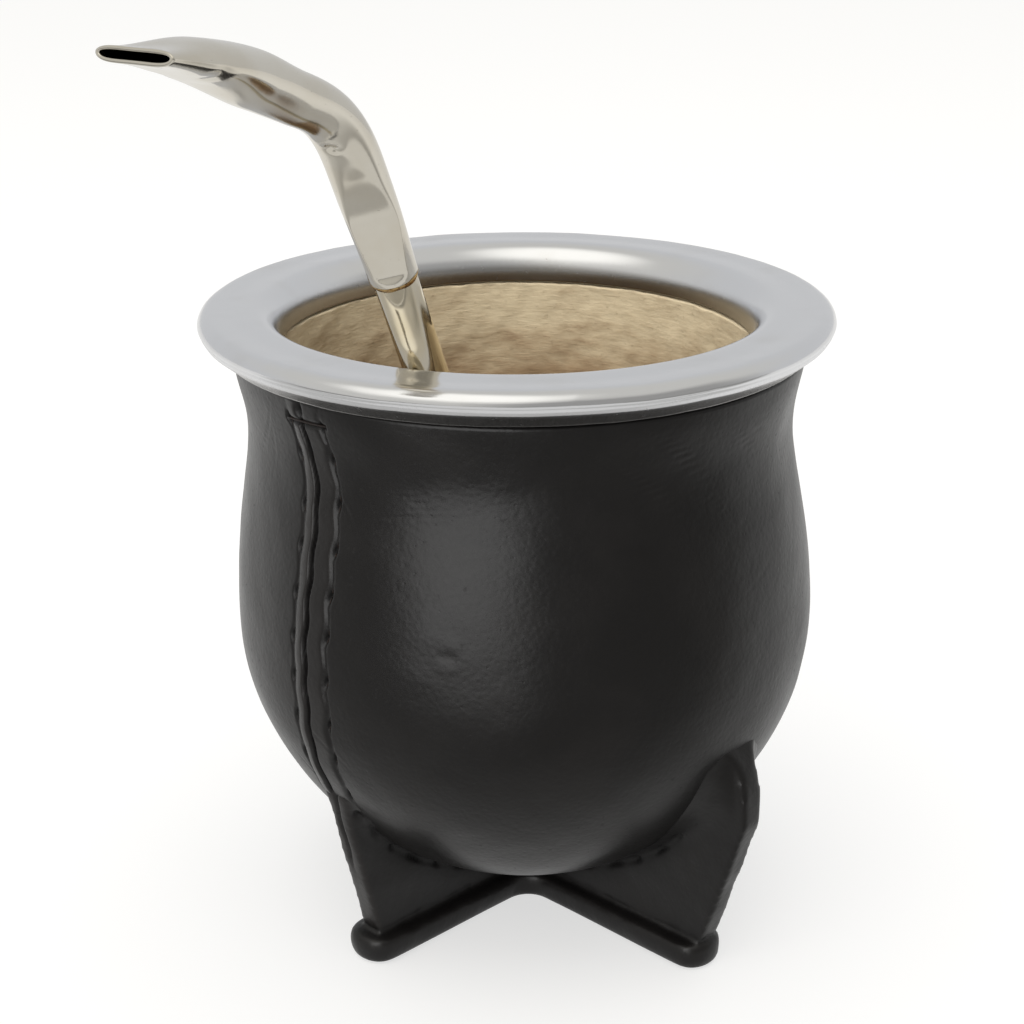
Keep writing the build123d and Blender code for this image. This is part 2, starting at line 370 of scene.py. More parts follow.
@dataclass(frozen=True)
class Signal:
    """A number that changes over a surface; arithmetic on it adds Math nodes."""

    bench: "Bench"
    socket: bpy.types.NodeSocket

    def _math(self, operation: str, *values: "Signal | float") -> "Signal":
        """A Math node on these values."""
        node = self.bench.node("ShaderNodeMath", {"operation": operation}, dict(enumerate(values)))
        return Signal(self.bench, node.outputs[0])

    def __add__(self, other: "Signal | float") -> "Signal":
        """Sum."""
        return self._math("ADD", self, other)

    def __sub__(self, other: "Signal | float") -> "Signal":
        """Difference."""
        return self._math("SUBTRACT", self, other)

    def __rsub__(self, other: float) -> "Signal":
        """A number less this."""
        return self._math("SUBTRACT", other, self)

    def __mul__(self, other: "Signal | float") -> "Signal":
        """Product."""
        return self._math("MULTIPLY", self, other)

    def at_most(self, other: float) -> "Signal":
        """This, but no more than a number."""
        return self._math("MINIMUM", self, other)

    __radd__ = __add__
    __rmul__ = __mul__

    def graded(self, start: float, end: float) -> "Signal":
        """Goes smoothly from 0 where this is start to 1 where it is end.

        Args:
            start: where the result is 0.
            end: where the result is 1.

        Returns:
            The graded number.
        """
        settings = {"interpolation_type": "SMOOTHSTEP"}
        node = self.bench.node("ShaderNodeMapRange", settings,
                               {"Value": self, "From Min": start, "From Max": end})
        return Signal(self.bench, node.outputs["Result"])


class Bench:
    """The node tree of one material or of the world."""

    def __init__(self, name: str, world: bool = False) -> None:
        """Starts an empty tree.

        Args:
            name: name of the material or world.
            world: True for the world's tree.
        """
        self.owner = bpy.data.worlds.new(name) if world else bpy.data.materials.new(name)
        self.owner.use_nodes = True
        self.tree = self.owner.node_tree
        self.tree.nodes.clear()

    def node(self, kind: str, settings: dict[str, object] | None = None,
             inputs: dict[str | int, object] | None = None) -> bpy.types.Node:
        """Adds a node.

        Args:
            kind: the node's type.
            settings: its properties.
            inputs: a value, socket or Signal for each socket, by name or number.

        Returns:
            The node.
        """
        node = self.tree.nodes.new(kind)
        for key, value in (settings or {}).items():
            setattr(node, key, value)
        for key, value in (inputs or {}).items():
            if isinstance(value, Signal):
                value = value.socket
            if isinstance(value, bpy.types.NodeSocket):
                self.tree.links.new(value, node.inputs[key])
            else:
                node.inputs[key].default_value = value
        return node

    def attribute(self, name: str) -> Signal:
        """A number stored at the mesh's corner points."""
        settings = {"attribute_name": name}
        return Signal(self, self.node("ShaderNodeAttribute", settings).outputs["Fac"])

    def place(self) -> bpy.types.NodeSocket:
        """Where the surface is, in metres."""
        return self.node("ShaderNodeTexCoord").outputs["Object"]

    def vector(self, operation: str, *values: object) -> bpy.types.NodeSocket:
        """A Vector Math node.

        Args:
            operation: what the node does.
            values: vectors or sockets.

        Returns:
            The node's number for a length or a dot product, else its vector.
        """
        node = self.node("ShaderNodeVectorMath", {"operation": operation}, dict(enumerate(values)))
        single = operation in ("LENGTH", "DOT_PRODUCT")
        return node.outputs["Value" if single else "Vector"]

    def part(self, vector: bpy.types.NodeSocket, axis: str) -> Signal:
        """One of a vector's three numbers."""
        return Signal(self, self.node("ShaderNodeSeparateXYZ", {}, {0: vector}).outputs[axis])

    def noise(self, size: float, where: bpy.types.NodeSocket | None = None, detail: float = 2.0,
              rough: float = 0.5) -> Signal:
        """Irregular blotches from about 0.3 to 0.7.

        Args:
            size: rough size of a blotch in millimetres.
            where: places in metres; the surface's own if left out.
            detail: how many finer layers are added.
            rough: strength of the finer layers.

        Returns:
            The blotches' strength.
        """
        inputs = {"Vector": where or self.place(), "Scale": 1 / (size * MM), "Detail": detail,
                  "Roughness": rough}
        return Signal(self, self.node("ShaderNodeTexNoise", {}, inputs).outputs["Fac"])

    def cells(self, size: float, feature: str = "F1") -> Signal:
        """Distance inside a pattern of cells, each about size millimetres across.

        Args:
            size: width of a cell in millimetres.
            feature: which distance is measured.

        Returns:
            The distance.
        """
        inputs = {"Vector": self.place(), "Scale": 1 / (size * MM)}
        node = self.node("ShaderNodeTexVoronoi", {"feature": feature}, inputs)
        return Signal(self, node.outputs["Distance"])

    def stretched(self, factors: tuple[float, float, float]) -> bpy.types.NodeSocket:
        """The surface's places, scaled along each axis."""
        return self.vector("MULTIPLY", self.place(), factors)

    def mixed(self, amount: Signal | float, first: object,
              second: object) -> bpy.types.NodeSocket:
        """One colour laid over another.

        Args:
            amount: how much of the second shows.
            first: colour or socket below.
            second: colour or socket above.

        Returns:
            The colour.
        """
        settings = {"data_type": "RGBA"}
        colours = {6: first, 7: second}
        colours = {k: (*v, 1.0) if isinstance(v, tuple) else v for k, v in colours.items()}
        return self.node("ShaderNodeMix", settings, {0: amount, **colours}).outputs[2]

    def bumps(self, *layers: tuple[Signal, float]) -> bpy.types.NodeSocket:
        """Fine relief.

        Args:
            layers: pairs of a pattern and its height in millimetres.

        Returns:
            The surface's direction with the relief on it.
        """
        normal = None
        for pattern, height in layers:
            inputs = {"Height": pattern, "Distance": height * MM, "Strength": 1.0}
            if normal:
                inputs["Normal"] = normal
            normal = self.node("ShaderNodeBump", {}, inputs).outputs["Normal"]
        return normal

    def surface(self, inputs: dict[str, object]) -> bpy.types.Material:
        """Ends a material with the usual surface shader and returns it."""
        shader = self.node("ShaderNodeBsdfPrincipled", {}, inputs)
        return self.end(shader.outputs[0])

    def end(self, shader: bpy.types.NodeSocket) -> bpy.types.Material:
        """Ends the tree with this shader and returns its material or world.

        Args:
            shader: the shader's socket.

        Returns:
            The material or world.
        """
        kind = "Material" if isinstance(self.owner, bpy.types.Material) else "World"
        self.node(f"ShaderNodeOutput{kind}", {}, {"Surface": shader})
        return self.owner


# ---------------------------------------------------------------- finishes

@dataclass(frozen=True)
class BlackLeather:
    """Smooth dyed leather with a fine grain, soft wrinkles, rubbed high places and painted shade in
    its recesses.
    """

    colour: tuple[float, float, float] = (0.0060, 0.0054, 0.0054)
    rubbed: tuple[float, float, float] = (0.017, 0.015, 0.0145)
    # Colour of the painted shade in grooves, stitch holes, folds and creases.
    deep: tuple[float, float, float] = (0.0015, 0.0012, 0.0012)
    gloss: float = 0.33

    def material(self) -> bpy.types.Material:
        """The finish, which reads the attributes "rubbed" and "deep".

        Returns:
            The material.
        """
        bench = Bench("black_leather")
        patches = bench.noise(14, detail=3)
        grain = bench.noise(0.55, detail=3, rough=0.6)
        pebbles = bench.cells(0.8, "SMOOTH_F1")
        ripples = bench.noise(3.2, detail=2)
        pores = bench.cells(1.9).graded(0.0, 0.14)
        dust = bench.noise(0.9, detail=1).graded(0.70, 0.76)
        colour = bench.mixed(bench.attribute("rubbed"), self.colour, self.rubbed)
        colour = bench.mixed(patches.graded(0.4, 0.7) * 0.25, colour, self.rubbed)
        # Painted shade: the colour goes darker where the attribute "deep" is set.
        colour = bench.mixed(bench.attribute("deep"), colour, self.deep)
        rough = (patches * 0.16 + grain * 0.10 + dust * 0.12 + bench.attribute("deep") * 0.35
                 + (self.gloss - 0.13))
        relief = bench.bumps((ripples, 0.05), (pebbles, 0.025), (grain, 0.018), (pores, 0.015))
        return bench.surface({"Base Color": colour, "Roughness": rough, "Normal": relief,
                              "Specular IOR Level": 0.32})


@dataclass(frozen=True)
class WaxedThread:
    """Dark reddish-brown waxed thread with a twist."""

    colour: tuple[float, float, float] = (0.035, 0.016, 0.012)
    shade: tuple[float, float, float] = (0.010, 0.007, 0.006)

    def material(self) -> bpy.types.Material:
        """The finish.

        Returns:
            The material.
        """
        bench = Bench("waxed_thread")
        fibres = bench.noise(0.25, bench.stretched((1.0, 1.0, 2.5)), detail=2)
        colour = bench.mixed(fibres.graded(0.35, 0.65), self.shade, self.colour)
        rough = fibres * 0.2 + 0.45
        return bench.surface({"Base Color": colour, "Roughness": rough,
                              "Normal": bench.bumps((fibres, 0.05))})


@dataclass(frozen=True)
class TurnedSteel:
    """Bright pressed steel, brushed round the flat and across the sloping underside, with a painted
    dark reflection low on the underside and inside the mouth. It knows where the rim's axis, top
    and mouth are."""

    axis_x: float
    top: float
    mouth: float
    colour: tuple[float, float, float] = (0.735, 0.74, 0.755)
    stained: tuple[float, float, float] = (0.61, 0.595, 0.57)
    painted_dark_reflection: tuple[float, float, float] = (0.26, 0.25, 0.24)

    def material(self) -> bpy.types.Material:
        """The finish.

        Returns:
            The material.
        """
        bench = Bench("turned_steel")
        from_axis = bench.vector("SUBTRACT", bench.place(), (self.axis_x * MM, 0, 0))
        flat = bench.vector("MULTIPLY", from_axis, (1, 1, 0))
        way = bench.vector("NORMALIZE", flat)
        reach = Signal(bench, bench.vector("LENGTH", flat))
        height = bench.part(from_axis, "Z")
        lines_at = bench.node("ShaderNodeCombineXYZ", {}, {0: reach, 1: height}).outputs[0]
        slow = bench.vector("MULTIPLY", way, (0.0009, 0.0009, 0))
        rings = bench.noise(0.16, bench.vector("ADD", lines_at, slow), detail=3, rough=0.65)
        fast = bench.vector("MULTIPLY", way, (0.046, 0.046, 0))
        drift = bench.node("ShaderNodeCombineXYZ", {}, {2: height * 0.15}).outputs[0]
        strokes = bench.noise(0.22, bench.vector("ADD", fast, drift), detail=3, rough=0.6)
        under = height.graded((self.top - 1.6) * MM, (self.top - 2.6) * MM)
        smears = bench.noise(9, detail=3)
        scuffs = bench.noise(1.2, detail=4, rough=0.7).graded(0.64, 0.74)
        colour = bench.mixed(smears.graded(0.5, 0.85) * 0.35, self.colour, self.stained)
        colour = bench.mixed(scuffs * 0.25, colour, self.stained)
        # Painted dark reflection: the colour darkens low on the underside and on the skirt inside
        # the mouth.
        low = height.graded((self.top - 2.9) * MM, (self.top - 4.0) * MM)
        inner = reach.graded((self.mouth + 1.5) * MM, (self.mouth + 0.5) * MM)
        colour = bench.mixed((low * (1 - inner) * (strokes * 0.5 + 0.62)).at_most(1.0), colour,
                             self.painted_dark_reflection)
        colour = bench.mixed(inner * low * 0.75, colour, self.painted_dark_reflection)
        rough = rings * 0.08 + smears * 0.06 + under * 0.10 + scuffs * 0.12 + 0.08
        relief = bench.bumps((rings * (1 - under), 0.006), (strokes * under, 0.03))
        return bench.surface({"Base Color": colour, "Metallic": 1.0, "Roughness": rough,
                              "Normal": relief})


@dataclass(frozen=True)
class PlatedStraw:
    """Polished nickel plate with a warm tinge, tiny pits and faint wiping marks."""

    name: str
    colour: tuple[float, float, float] = (0.67, 0.635, 0.56)
    tinge: tuple[float, float, float] = (0.62, 0.575, 0.485)
    gloss: float = 0.12
    pitted: tuple[float, float, float] = (0.16, 0.14, 0.12)

    def material(self) -> bpy.types.Material:
        """The finish.

        Returns:
            The material.
        """
        bench = Bench(self.name)
        wiping = bench.noise(1.6, bench.stretched((2.0, 2.0, 0.5)), detail=3)
        haze = bench.noise(6, detail=3)
        pits = bench.cells(1.1).graded(0.07, 0.03)
        colour = bench.mixed(haze.graded(0.4, 0.75) * 0.6, self.colour, self.tinge)
        colour = bench.mixed(pits * 0.45, colour, self.pitted)
        rough = wiping * 0.06 + haze * 0.04 + pits * 0.2 + (self.gloss - 0.04)
        relief = bench.bumps((haze, 0.006), (wiping, 0.003), (pits, -0.015))
        return bench.surface({"Base Color": colour, "Metallic": 1.0, "Roughness": rough,
                              "Normal": relief})


@dataclass(frozen=True)
class BrassBraze:
    """Yellow braze metal that ran and set unevenly."""

    colour: tuple[float, float, float] = (0.66, 0.45, 0.20)
    burnt: tuple[float, float, float] = (0.30, 0.17, 0.07)

    def material(self) -> bpy.types.Material:
        """The finish.

        Returns:
            The material.
        """
        bench = Bench("brass_braze")
        runs = bench.noise(0.7, detail=3)
        colour = bench.mixed(runs.graded(0.45, 0.65), self.colour, self.burnt)
        return bench.surface({"Base Color": colour, "Metallic": 1.0, "Roughness": runs * 0.3 + 0.12,
                              "Normal": bench.bumps((runs, 0.05))})


@dataclass(frozen=True)
class DriedGourd:
    """Scraped dried gourd: tan above, browner lower down, with dark runs and blotches."""

    rim_height: float
    pale: tuple[float, float, float] = (0.60, 0.505, 0.345)
    brown: tuple[float, float, float] = (0.33, 0.235, 0.140)
    dark: tuple[float, float, float] = (0.16, 0.102, 0.060)

    def material(self) -> bpy.types.Material:
        """The finish.

        Returns:
            The material.
        """
        bench = Bench("dried_gourd")
        height = bench.part(bench.place(), "Z")
        low = height.graded((self.rim_height - 8) * MM, (self.rim_height - 28) * MM)
        streaks = bench.noise(3.6, bench.stretched((0.45, 0.45, 1.8)), detail=4, rough=0.62)
        blotches = bench.noise(7, bench.stretched((0.7, 0.7, 1.2)), detail=4, rough=0.6)
        flecks = bench.noise(0.9, bench.stretched((0.7, 0.7, 1.2)), detail=3, rough=0.65)
        fibres = bench.noise(0.6, bench.stretched((0.25, 0.25, 1.6)), detail=2, rough=0.5)
        browning = (low * 0.95 + blotches * 1.3 + streaks * 1.1 + (-1.05)).graded(0.0, 1.1)
        colour = bench.mixed(browning, self.pale, self.brown)
        stains = (blotches * 0.9 + streaks * 1.1 + low * 0.15).graded(1.16, 1.46)
        colour = bench.mixed(stains * 0.6, colour, self.dark)
        colour = bench.mixed(flecks.graded(0.58, 0.78) * 0.35, colour, self.dark)
        colour = bench.mixed(fibres.graded(0.45, 0.7) * 0.14, colour, self.brown)
        rough = fibres * 0.2 + blotches * 0.15 + 0.45
        relief = bench.bumps((blotches, 0.35), (streaks, 0.18), (fibres, 0.04), (flecks, 0.04))
        return bench.surface({"Base Color": colour, "Roughness": rough, "Normal": relief,
                              "Specular IOR Level": 0.35})


# ---------------------------------------------------------------- cup body

@dataclass
class CupShape:
    """The round body that the cover, the gourd and the foot share."""

    rim_height: float = 100.0
    belly_radius: float = 45.05
    belly_lift: float = 7.65
    shoulder_radius: float = 42.9
    shoulder_drop: float = 27.0
    neck_radius: float = 41.8
    neck_drop: float = 15.5
    collar_radius: float = 43.4
    collar_drop: float = 5.8
    collar_steepness: float = 1.5
    lean: float = -0.75
    hip: float = 0.28

    @property
    def belly_height(self) -> float:
        """Height of the centre of the round lower belly."""
        return self.belly_lift + self.belly_radius

    def profile(self, inset: float, neck_inset: float, top_radius: float, top: float,
                below: int, above: int) -> np.ndarray:
        """Half section from the bottom to the top.

        Args:
            inset: how far in from the leather's outside at the belly.
            neck_inset: the same at the neck.
            top_radius: radius at the top.
            top: height of the top.
            below: samples on the round lower belly.
            above: samples from the belly up.

        Returns:
            Rows of radius and height.
        """
        radius = self.belly_radius - inset
        angles = np.linspace(0, math.pi / 2, below + 1)[1:]
        lower = np.stack([radius * np.sin(angles), self.belly_height - radius * np.cos(angles)], 1)
        neck = (self.neck_radius - neck_inset, self.rim_height - self.neck_drop)
        shoulder = (self.shoulder_radius - (inset + neck_inset) / 2,
                    self.rim_height - self.shoulder_drop)
        flare = (top_radius - neck[0], self.collar_steepness * (top - neck[1]))
        upper = clamped_spline([(radius, self.belly_height), shoulder, neck, (top_radius, top)],
                               (0, 1), flare, above)
        return np.vstack([lower, upper[1:]])

    def leaned(self, points: np.ndarray) -> np.ndarray:
        """The upper body leans a little to the left.

        Args:
            points: points of the upright cup.

        Returns:
            The moved points.
        """
        moved = points.copy()
        moved[..., 0] += self.lean * ease(points[..., 2], self.belly_height, self.rim_height - 8)
        return moved


@dataclass
class Seam:
    """The upright butt seam with a row of stitches on each side."""

    way: list[tuple[float, float]] = field(default_factory=lambda: [
        (22, -46.6), (34, -46.3), (41, -45.4), (48, -44.5), (57, -44.6), (64, -44.1),
        (70, -43.4), (78, -42.9), (84, -43.2), (90, -44.9), (95, -45.2)])
    left_row: float = -2.9
    right_row: float = 4.1
    pitch: float = 6.7
    left_first: float = 38.2
    right_first: float = 32.6
    top: float = 90.6
    bottom: float = 28.0
    tack_left: float = -3.4
    tack_right: float = 5.0
    left_puff: float = 0.52
    right_puff: float = 0.24
    row_depth: float = 0.16
    hole_depth: float = 0.75
    hole_width: float = 0.30
    hole_length: float = 0.85
    groove_depth: float = 1.0
    groove_width: float = 0.26
    tack_depth: float = 0.5
    notch_depth: float = 0.8

    def azimuth(self, height: np.ndarray) -> np.ndarray:
        """Azimuth of the butt line at a height, in degrees.

        Args:
            height: heights above the floor.

        Returns:
            An azimuth for each height.
        """
        rows = np.array(self.way)
        fine = np.linspace(rows[0, 0], rows[-1, 0], 200)
        line = np.interp(fine, rows[:, 0], rows[:, 1])
        weights = np.hanning(25)
        line = np.convolve(np.pad(line, 12, mode="edge"), weights / weights.sum(), "valid")
        sway = 0.22 * np.sin(height * 2 * math.pi / self.pitch + 0.8)
        return np.interp(height, fine, line) + sway

    def holes(self, row: float) -> np.ndarray:
        """Heights of the stitch holes of one row.

        Args:
            row: how far the row is from the butt line, below 0 on the left.

        Returns:
            The heights, from the bottom up.
        """
        first = self.left_first if row < 0 else self.right_first
        heights = np.arange(first, self.top - 1.5, self.pitch)
        jitter = np.random.default_rng(7 if row < 0 else 8).uniform(-0.45, 0.45, len(heights))
        return np.append(heights + jitter, self.top)

    def lift(self, aside: np.ndarray, height: np.ndarray) -> tuple[np.ndarray, ...]:
        """How the leather stands out near the seam.

        Args:
            aside: distance to the right of the butt line in millimetres.
            height: height above the floor.

        Returns:
            Height of the relief, how rubbed each place is, and how much painted shade it gets.
        """
        shown = ease(height, self.bottom, self.bottom + 4)
        below_tack = ease(height, self.top + 0.6, self.top - 0.8)
        relief, deep = np.zeros_like(aside), np.zeros_like(aside)
        for row in (self.left_row, self.right_row):
            holes = self.holes(row)
            nearest = np.min(np.abs(height[..., None] - holes), axis=-1)
            between = ease(nearest, 0.3, self.pitch / 2)
            edge = row - math.copysign(0.55, row) * (1 - between)
            share = np.clip(aside / edge, 0, 1)
            inside = ((aside * row) > 0) & (np.abs(aside) < np.abs(edge))
            if row > 0:
                puff = 1 - (2 * share - 1) ** 6
            else:
                puff = (1 - share ** 2.5) * ease(share, 0, 0.16)
            full = self.right_puff if row > 0 else self.left_puff
            height_here = full * (0.85 + 0.15 * between)
            relief += np.where(inside, puff * height_here, 0) * (0.35 + 0.65 * below_tack)
            out = aside - row
            relief -= self.row_depth * bell(out, 0.30) * below_tack
            hole = bell(out - math.copysign(0.05, row), self.hole_width)
            hole = hole * bell(nearest, self.hole_length)
            relief -= self.hole_depth * hole
            # Painted shade in the stitch holes.
            deep = np.maximum(deep, np.clip(hole * 3.0, 0, 1))
        groove = bell(aside, self.groove_width) * (0.4 + 0.6 * below_tack)
        relief -= self.groove_depth * groove
        tack = bell(height - self.top - 0.05 * aside, 0.38)
        tack = tack * ease(aside, self.tack_left - .3, self.tack_left)
        tack = tack * ease(aside, self.tack_right + .3, self.tack_right)
        relief -= self.tack_depth * tack
        notch = bell(aside + 0.1, 0.6) * bell(height - self.top - 1.7, 1.0)
        relief -= self.notch_depth * notch
        # Painted shade in the groove, under the tack and in the notch.
        deep = np.maximum(deep, np.maximum(groove * 0.9, np.maximum(tack * 0.6, notch)))
        rubbed = np.clip(relief * 1.3, 0, 1)
        return relief * shown, rubbed * shown, deep * shown


@dataclass
class LeatherCover:
    """The leather drawn over the gourd, with its seam, creases and soft unevenness. Each mark is
    a crease that stands out, by its azimuth, height, slant, length and depth."""

    shape: CupShape
    seam: Seam
    wall: float = 2.0
    edge_round: float = 0.7
    creases: int = 26
    marks: list[tuple[float, ...]] = field(default_factory=lambda: [
        (-13.5, 61.5, 15, 5.5, 0.16), (-18, 81, -50, 5, 0.08), (-23, 79.5, 78, 7, 0.06),
        (24, 84, -52, 17, 0.10), (31, 88, -48, 12, 0.08), (38, 80, -58, 10, 0.06),
        (13, 76.5, -25, 4.5, 0.06), (-60, 86, 40, 8, 0.08)])
    seam_azimuth: float = -44.3
    fine_step: float = 0.0042
    coarse_step: float = 0.024
    fine_reach: float = 0.17
    neck_waves: float = 0.10
    thread_radius: float = 0.17
    thread_sunk: float = 0.42
    tack_radius: float = 0.19
    tack_sunk: float = 0.28

    def angles(self) -> np.ndarray:
        """Azimuths of the mesh's columns, close together near the seam.

        Returns:
            Azimuths in radians.
        """
        middle = math.radians(self.seam_azimuth)
        growth = self.coarse_step - self.fine_step
        steps, angle = [], middle
        while angle < middle + 2 * math.pi:
            steps.append(angle)
            away = min(angle - middle, middle + 2 * math.pi - angle)
            coarse = float(ease(away, self.fine_reach, self.fine_reach * 2.2))
            angle += self.fine_step + growth * coarse
        return np.array(steps)

    def scratches(self, points: np.ndarray, azimuth: np.ndarray) -> np.ndarray:
        """Depth of short soft creases at each place, in millimetres.

        Args:
            points: the cover's points.
            azimuth: their azimuths.

        Returns:
            A depth for each point.
        """
        rng = np.random.default_rng(21)
        lines = list(self.marks)
        for _ in range(self.creases):
            lines.append((rng.uniform(-180, 180), rng.uniform(30, 90), rng.uniform(-80, 80),
                          rng.uniform(3, 12), rng.uniform(0.03, 0.08)))
        depth = np.zeros(azimuth.shape)
        for where, height, slant, length, deep in lines:
            turn = (azimuth - math.radians(where) + math.pi) % (2 * math.pi) - math.pi
            x, y = turn * self.shape.belly_radius, points[..., 2] - height
            c, s = math.cos(math.radians(slant)), math.sin(math.radians(slant))
            along, off = x * s + y * c, x * c - y * s
            off = off + 0.012 * along ** 2
            line = bell(off, 0.26) - 0.45 * bell(np.abs(off) - 0.55, 0.3)
            depth += deep * line * bell(along, length / 2) * (np.abs(turn) < 1)
        return depth

    def build(self, material: bpy.types.Material) -> bpy.types.Object:
        """Makes and dresses the cover.

        Args:
            material: the leather's finish.

        Returns:
            The cover's object.
        """
        shape, edge = self.shape, self.edge_round
        top = shape.rim_height - shape.collar_drop
        outer = shape.profile(0, 0, shape.collar_radius, top - edge, 190, 260)
        inside = shape.collar_radius - self.wall
        inner = shape.profile(self.wall, self.wall, inside, top - edge, 30, 40)
        over = arc((inside + self.wall / 2, top - edge), self.wall / 2, 0, 180, 9)[1:-1]
        over[:, 1] = top - edge + (over[:, 1] - top + edge) * edge * 2 / self.wall
        profile = np.vstack([outer, over, inner[::-1]])
        angles = self.angles()
        rows = lathe(profile, angles)
        azimuth = np.broadcast_to(angles, rows.shape[:2])
        height = rows[..., 2]
        outside = np.zeros(rows.shape[:2])
        outside[:len(outer)] = 1
        outside[len(outer):len(outer) + 3] = 0.5
        away = azimuth - np.radians(self.seam.azimuth(height))
        away = (away + math.pi) % (2 * math.pi) - math.pi
        reach = np.hypot(rows[..., 0], rows[..., 1])
        relief, rubbed, deep = self.seam.lift(away * reach, height)
        soft = 0.045 * soft_field(rows, 19, 3) + 0.014 * soft_field(rows, 7, 4)
        soft *= ease(height, shape.belly_lift, 20) * ease(height, top, top - 3)
        hip = shape.hip * bell(height - 40, 13)
        creases = self.scratches(rows, azimuth)
        neck_wave = np.sin(azimuth * 9 + 1.1 * np.sin(azimuth * 4)) * bell(height - 89.5, 3.2)
        neck_wave = self.neck_waves * neck_wave
        lift = (relief + soft + hip - creases + neck_wave) * outside
        outward = np.stack([np.sin(azimuth), -np.cos(azimuth), 0 * azimuth], -1)
        below = np.clip((shape.belly_height - height) / shape.belly_radius, 0, 1)
        outward = outward * np.sqrt(1 - below ** 2)[..., None]
        outward[..., 2] = -below
        rows = shape.leaned(rows + outward * lift[..., None])
        piece = Skin(rows, end_caps=True).mesh("leather_cover_skin")
        rubs = np.clip(rubbed + creases * 1.5, 0, 1) * outside
        paint(piece, "rubbed", np.append(rubs.ravel(), [0, 0]))
        # Painted shade in the seam's groove, holes, tack and notch, for the leather's colour.
        paint(piece, "deep", np.append((deep * outside).ravel(), [0, 0]))
        return place(piece, material, "black_leather", "leather_cover")

    def on_skin(self, aside: np.ndarray, height: np.ndarray, lift: float) -> np.ndarray:
        """Places near the seam, given by how far they lie from the leather's own smooth form.

        Args:
            aside: distance to the right of the butt line.
            height: heights above the floor.
            lift: how far out from the smooth form, below 0 for inside it.

        Returns:
            Points in millimetres.
        """
        shape = self.shape
        profile = shape.profile(0, 0, shape.collar_radius, shape.rim_height - shape.collar_drop,
                                90, 120)
        reach = np.interp(height, profile[:, 1], profile[:, 0]) + shape.hip * bell(height - 40, 13)
        azimuth = np.radians(self.seam.azimuth(height)) + aside / reach
        points = np.stack([(reach + lift) * np.sin(azimuth), -(reach + lift) * np.cos(azimuth),
                           height + 0 * aside], -1)
        return shape.leaned(points)

    def threads(self, material: bpy.types.Material) -> bpy.types.Object:
        """Makes and dresses the stitches that lie between the holes of the seam.

        Args:
            material: the thread's finish.

        Returns:
            The threads' object.
        """
        skins = []
        for row in (self.seam.left_row, self.seam.right_row):
            holes = self.seam.holes(row)
            for low, high in zip(holes[:-1], holes[1:]):
                share = np.linspace(0.03, 0.97, 15)
                sag = -self.thread_sunk - 0.35 * (2 * share - 1) ** 8
                heights = low + (high - low) * share
                aside = row + math.copysign(0.10, row) * np.sin(share * math.pi)
                path = np.array([self.on_skin(a, h, s) for a, h, s in zip(aside, heights, sag)])
                skins.append(pipe(path, self.thread_radius))
        share = np.linspace(0, 1, 25)
        aside = self.seam.tack_left + (self.seam.tack_right - self.seam.tack_left) * share
        heights = self.seam.top + 0.05 * aside
        path = np.array([self.on_skin(a, h, -self.tack_sunk) for a, h in zip(aside, heights)])
        skins.append(pipe(path, self.tack_radius))
        return place(joined("seam_stitches", skins), material, "black_leather")


@dataclass
class FootArm:
    """One web of the foot and the roll of leather under it: how far the roll reaches, where the
    web's edge starts above it, and where the web is widest."""

    azimuth: float
    reach: float
    toe: float
    widest: float
    widest_height: float


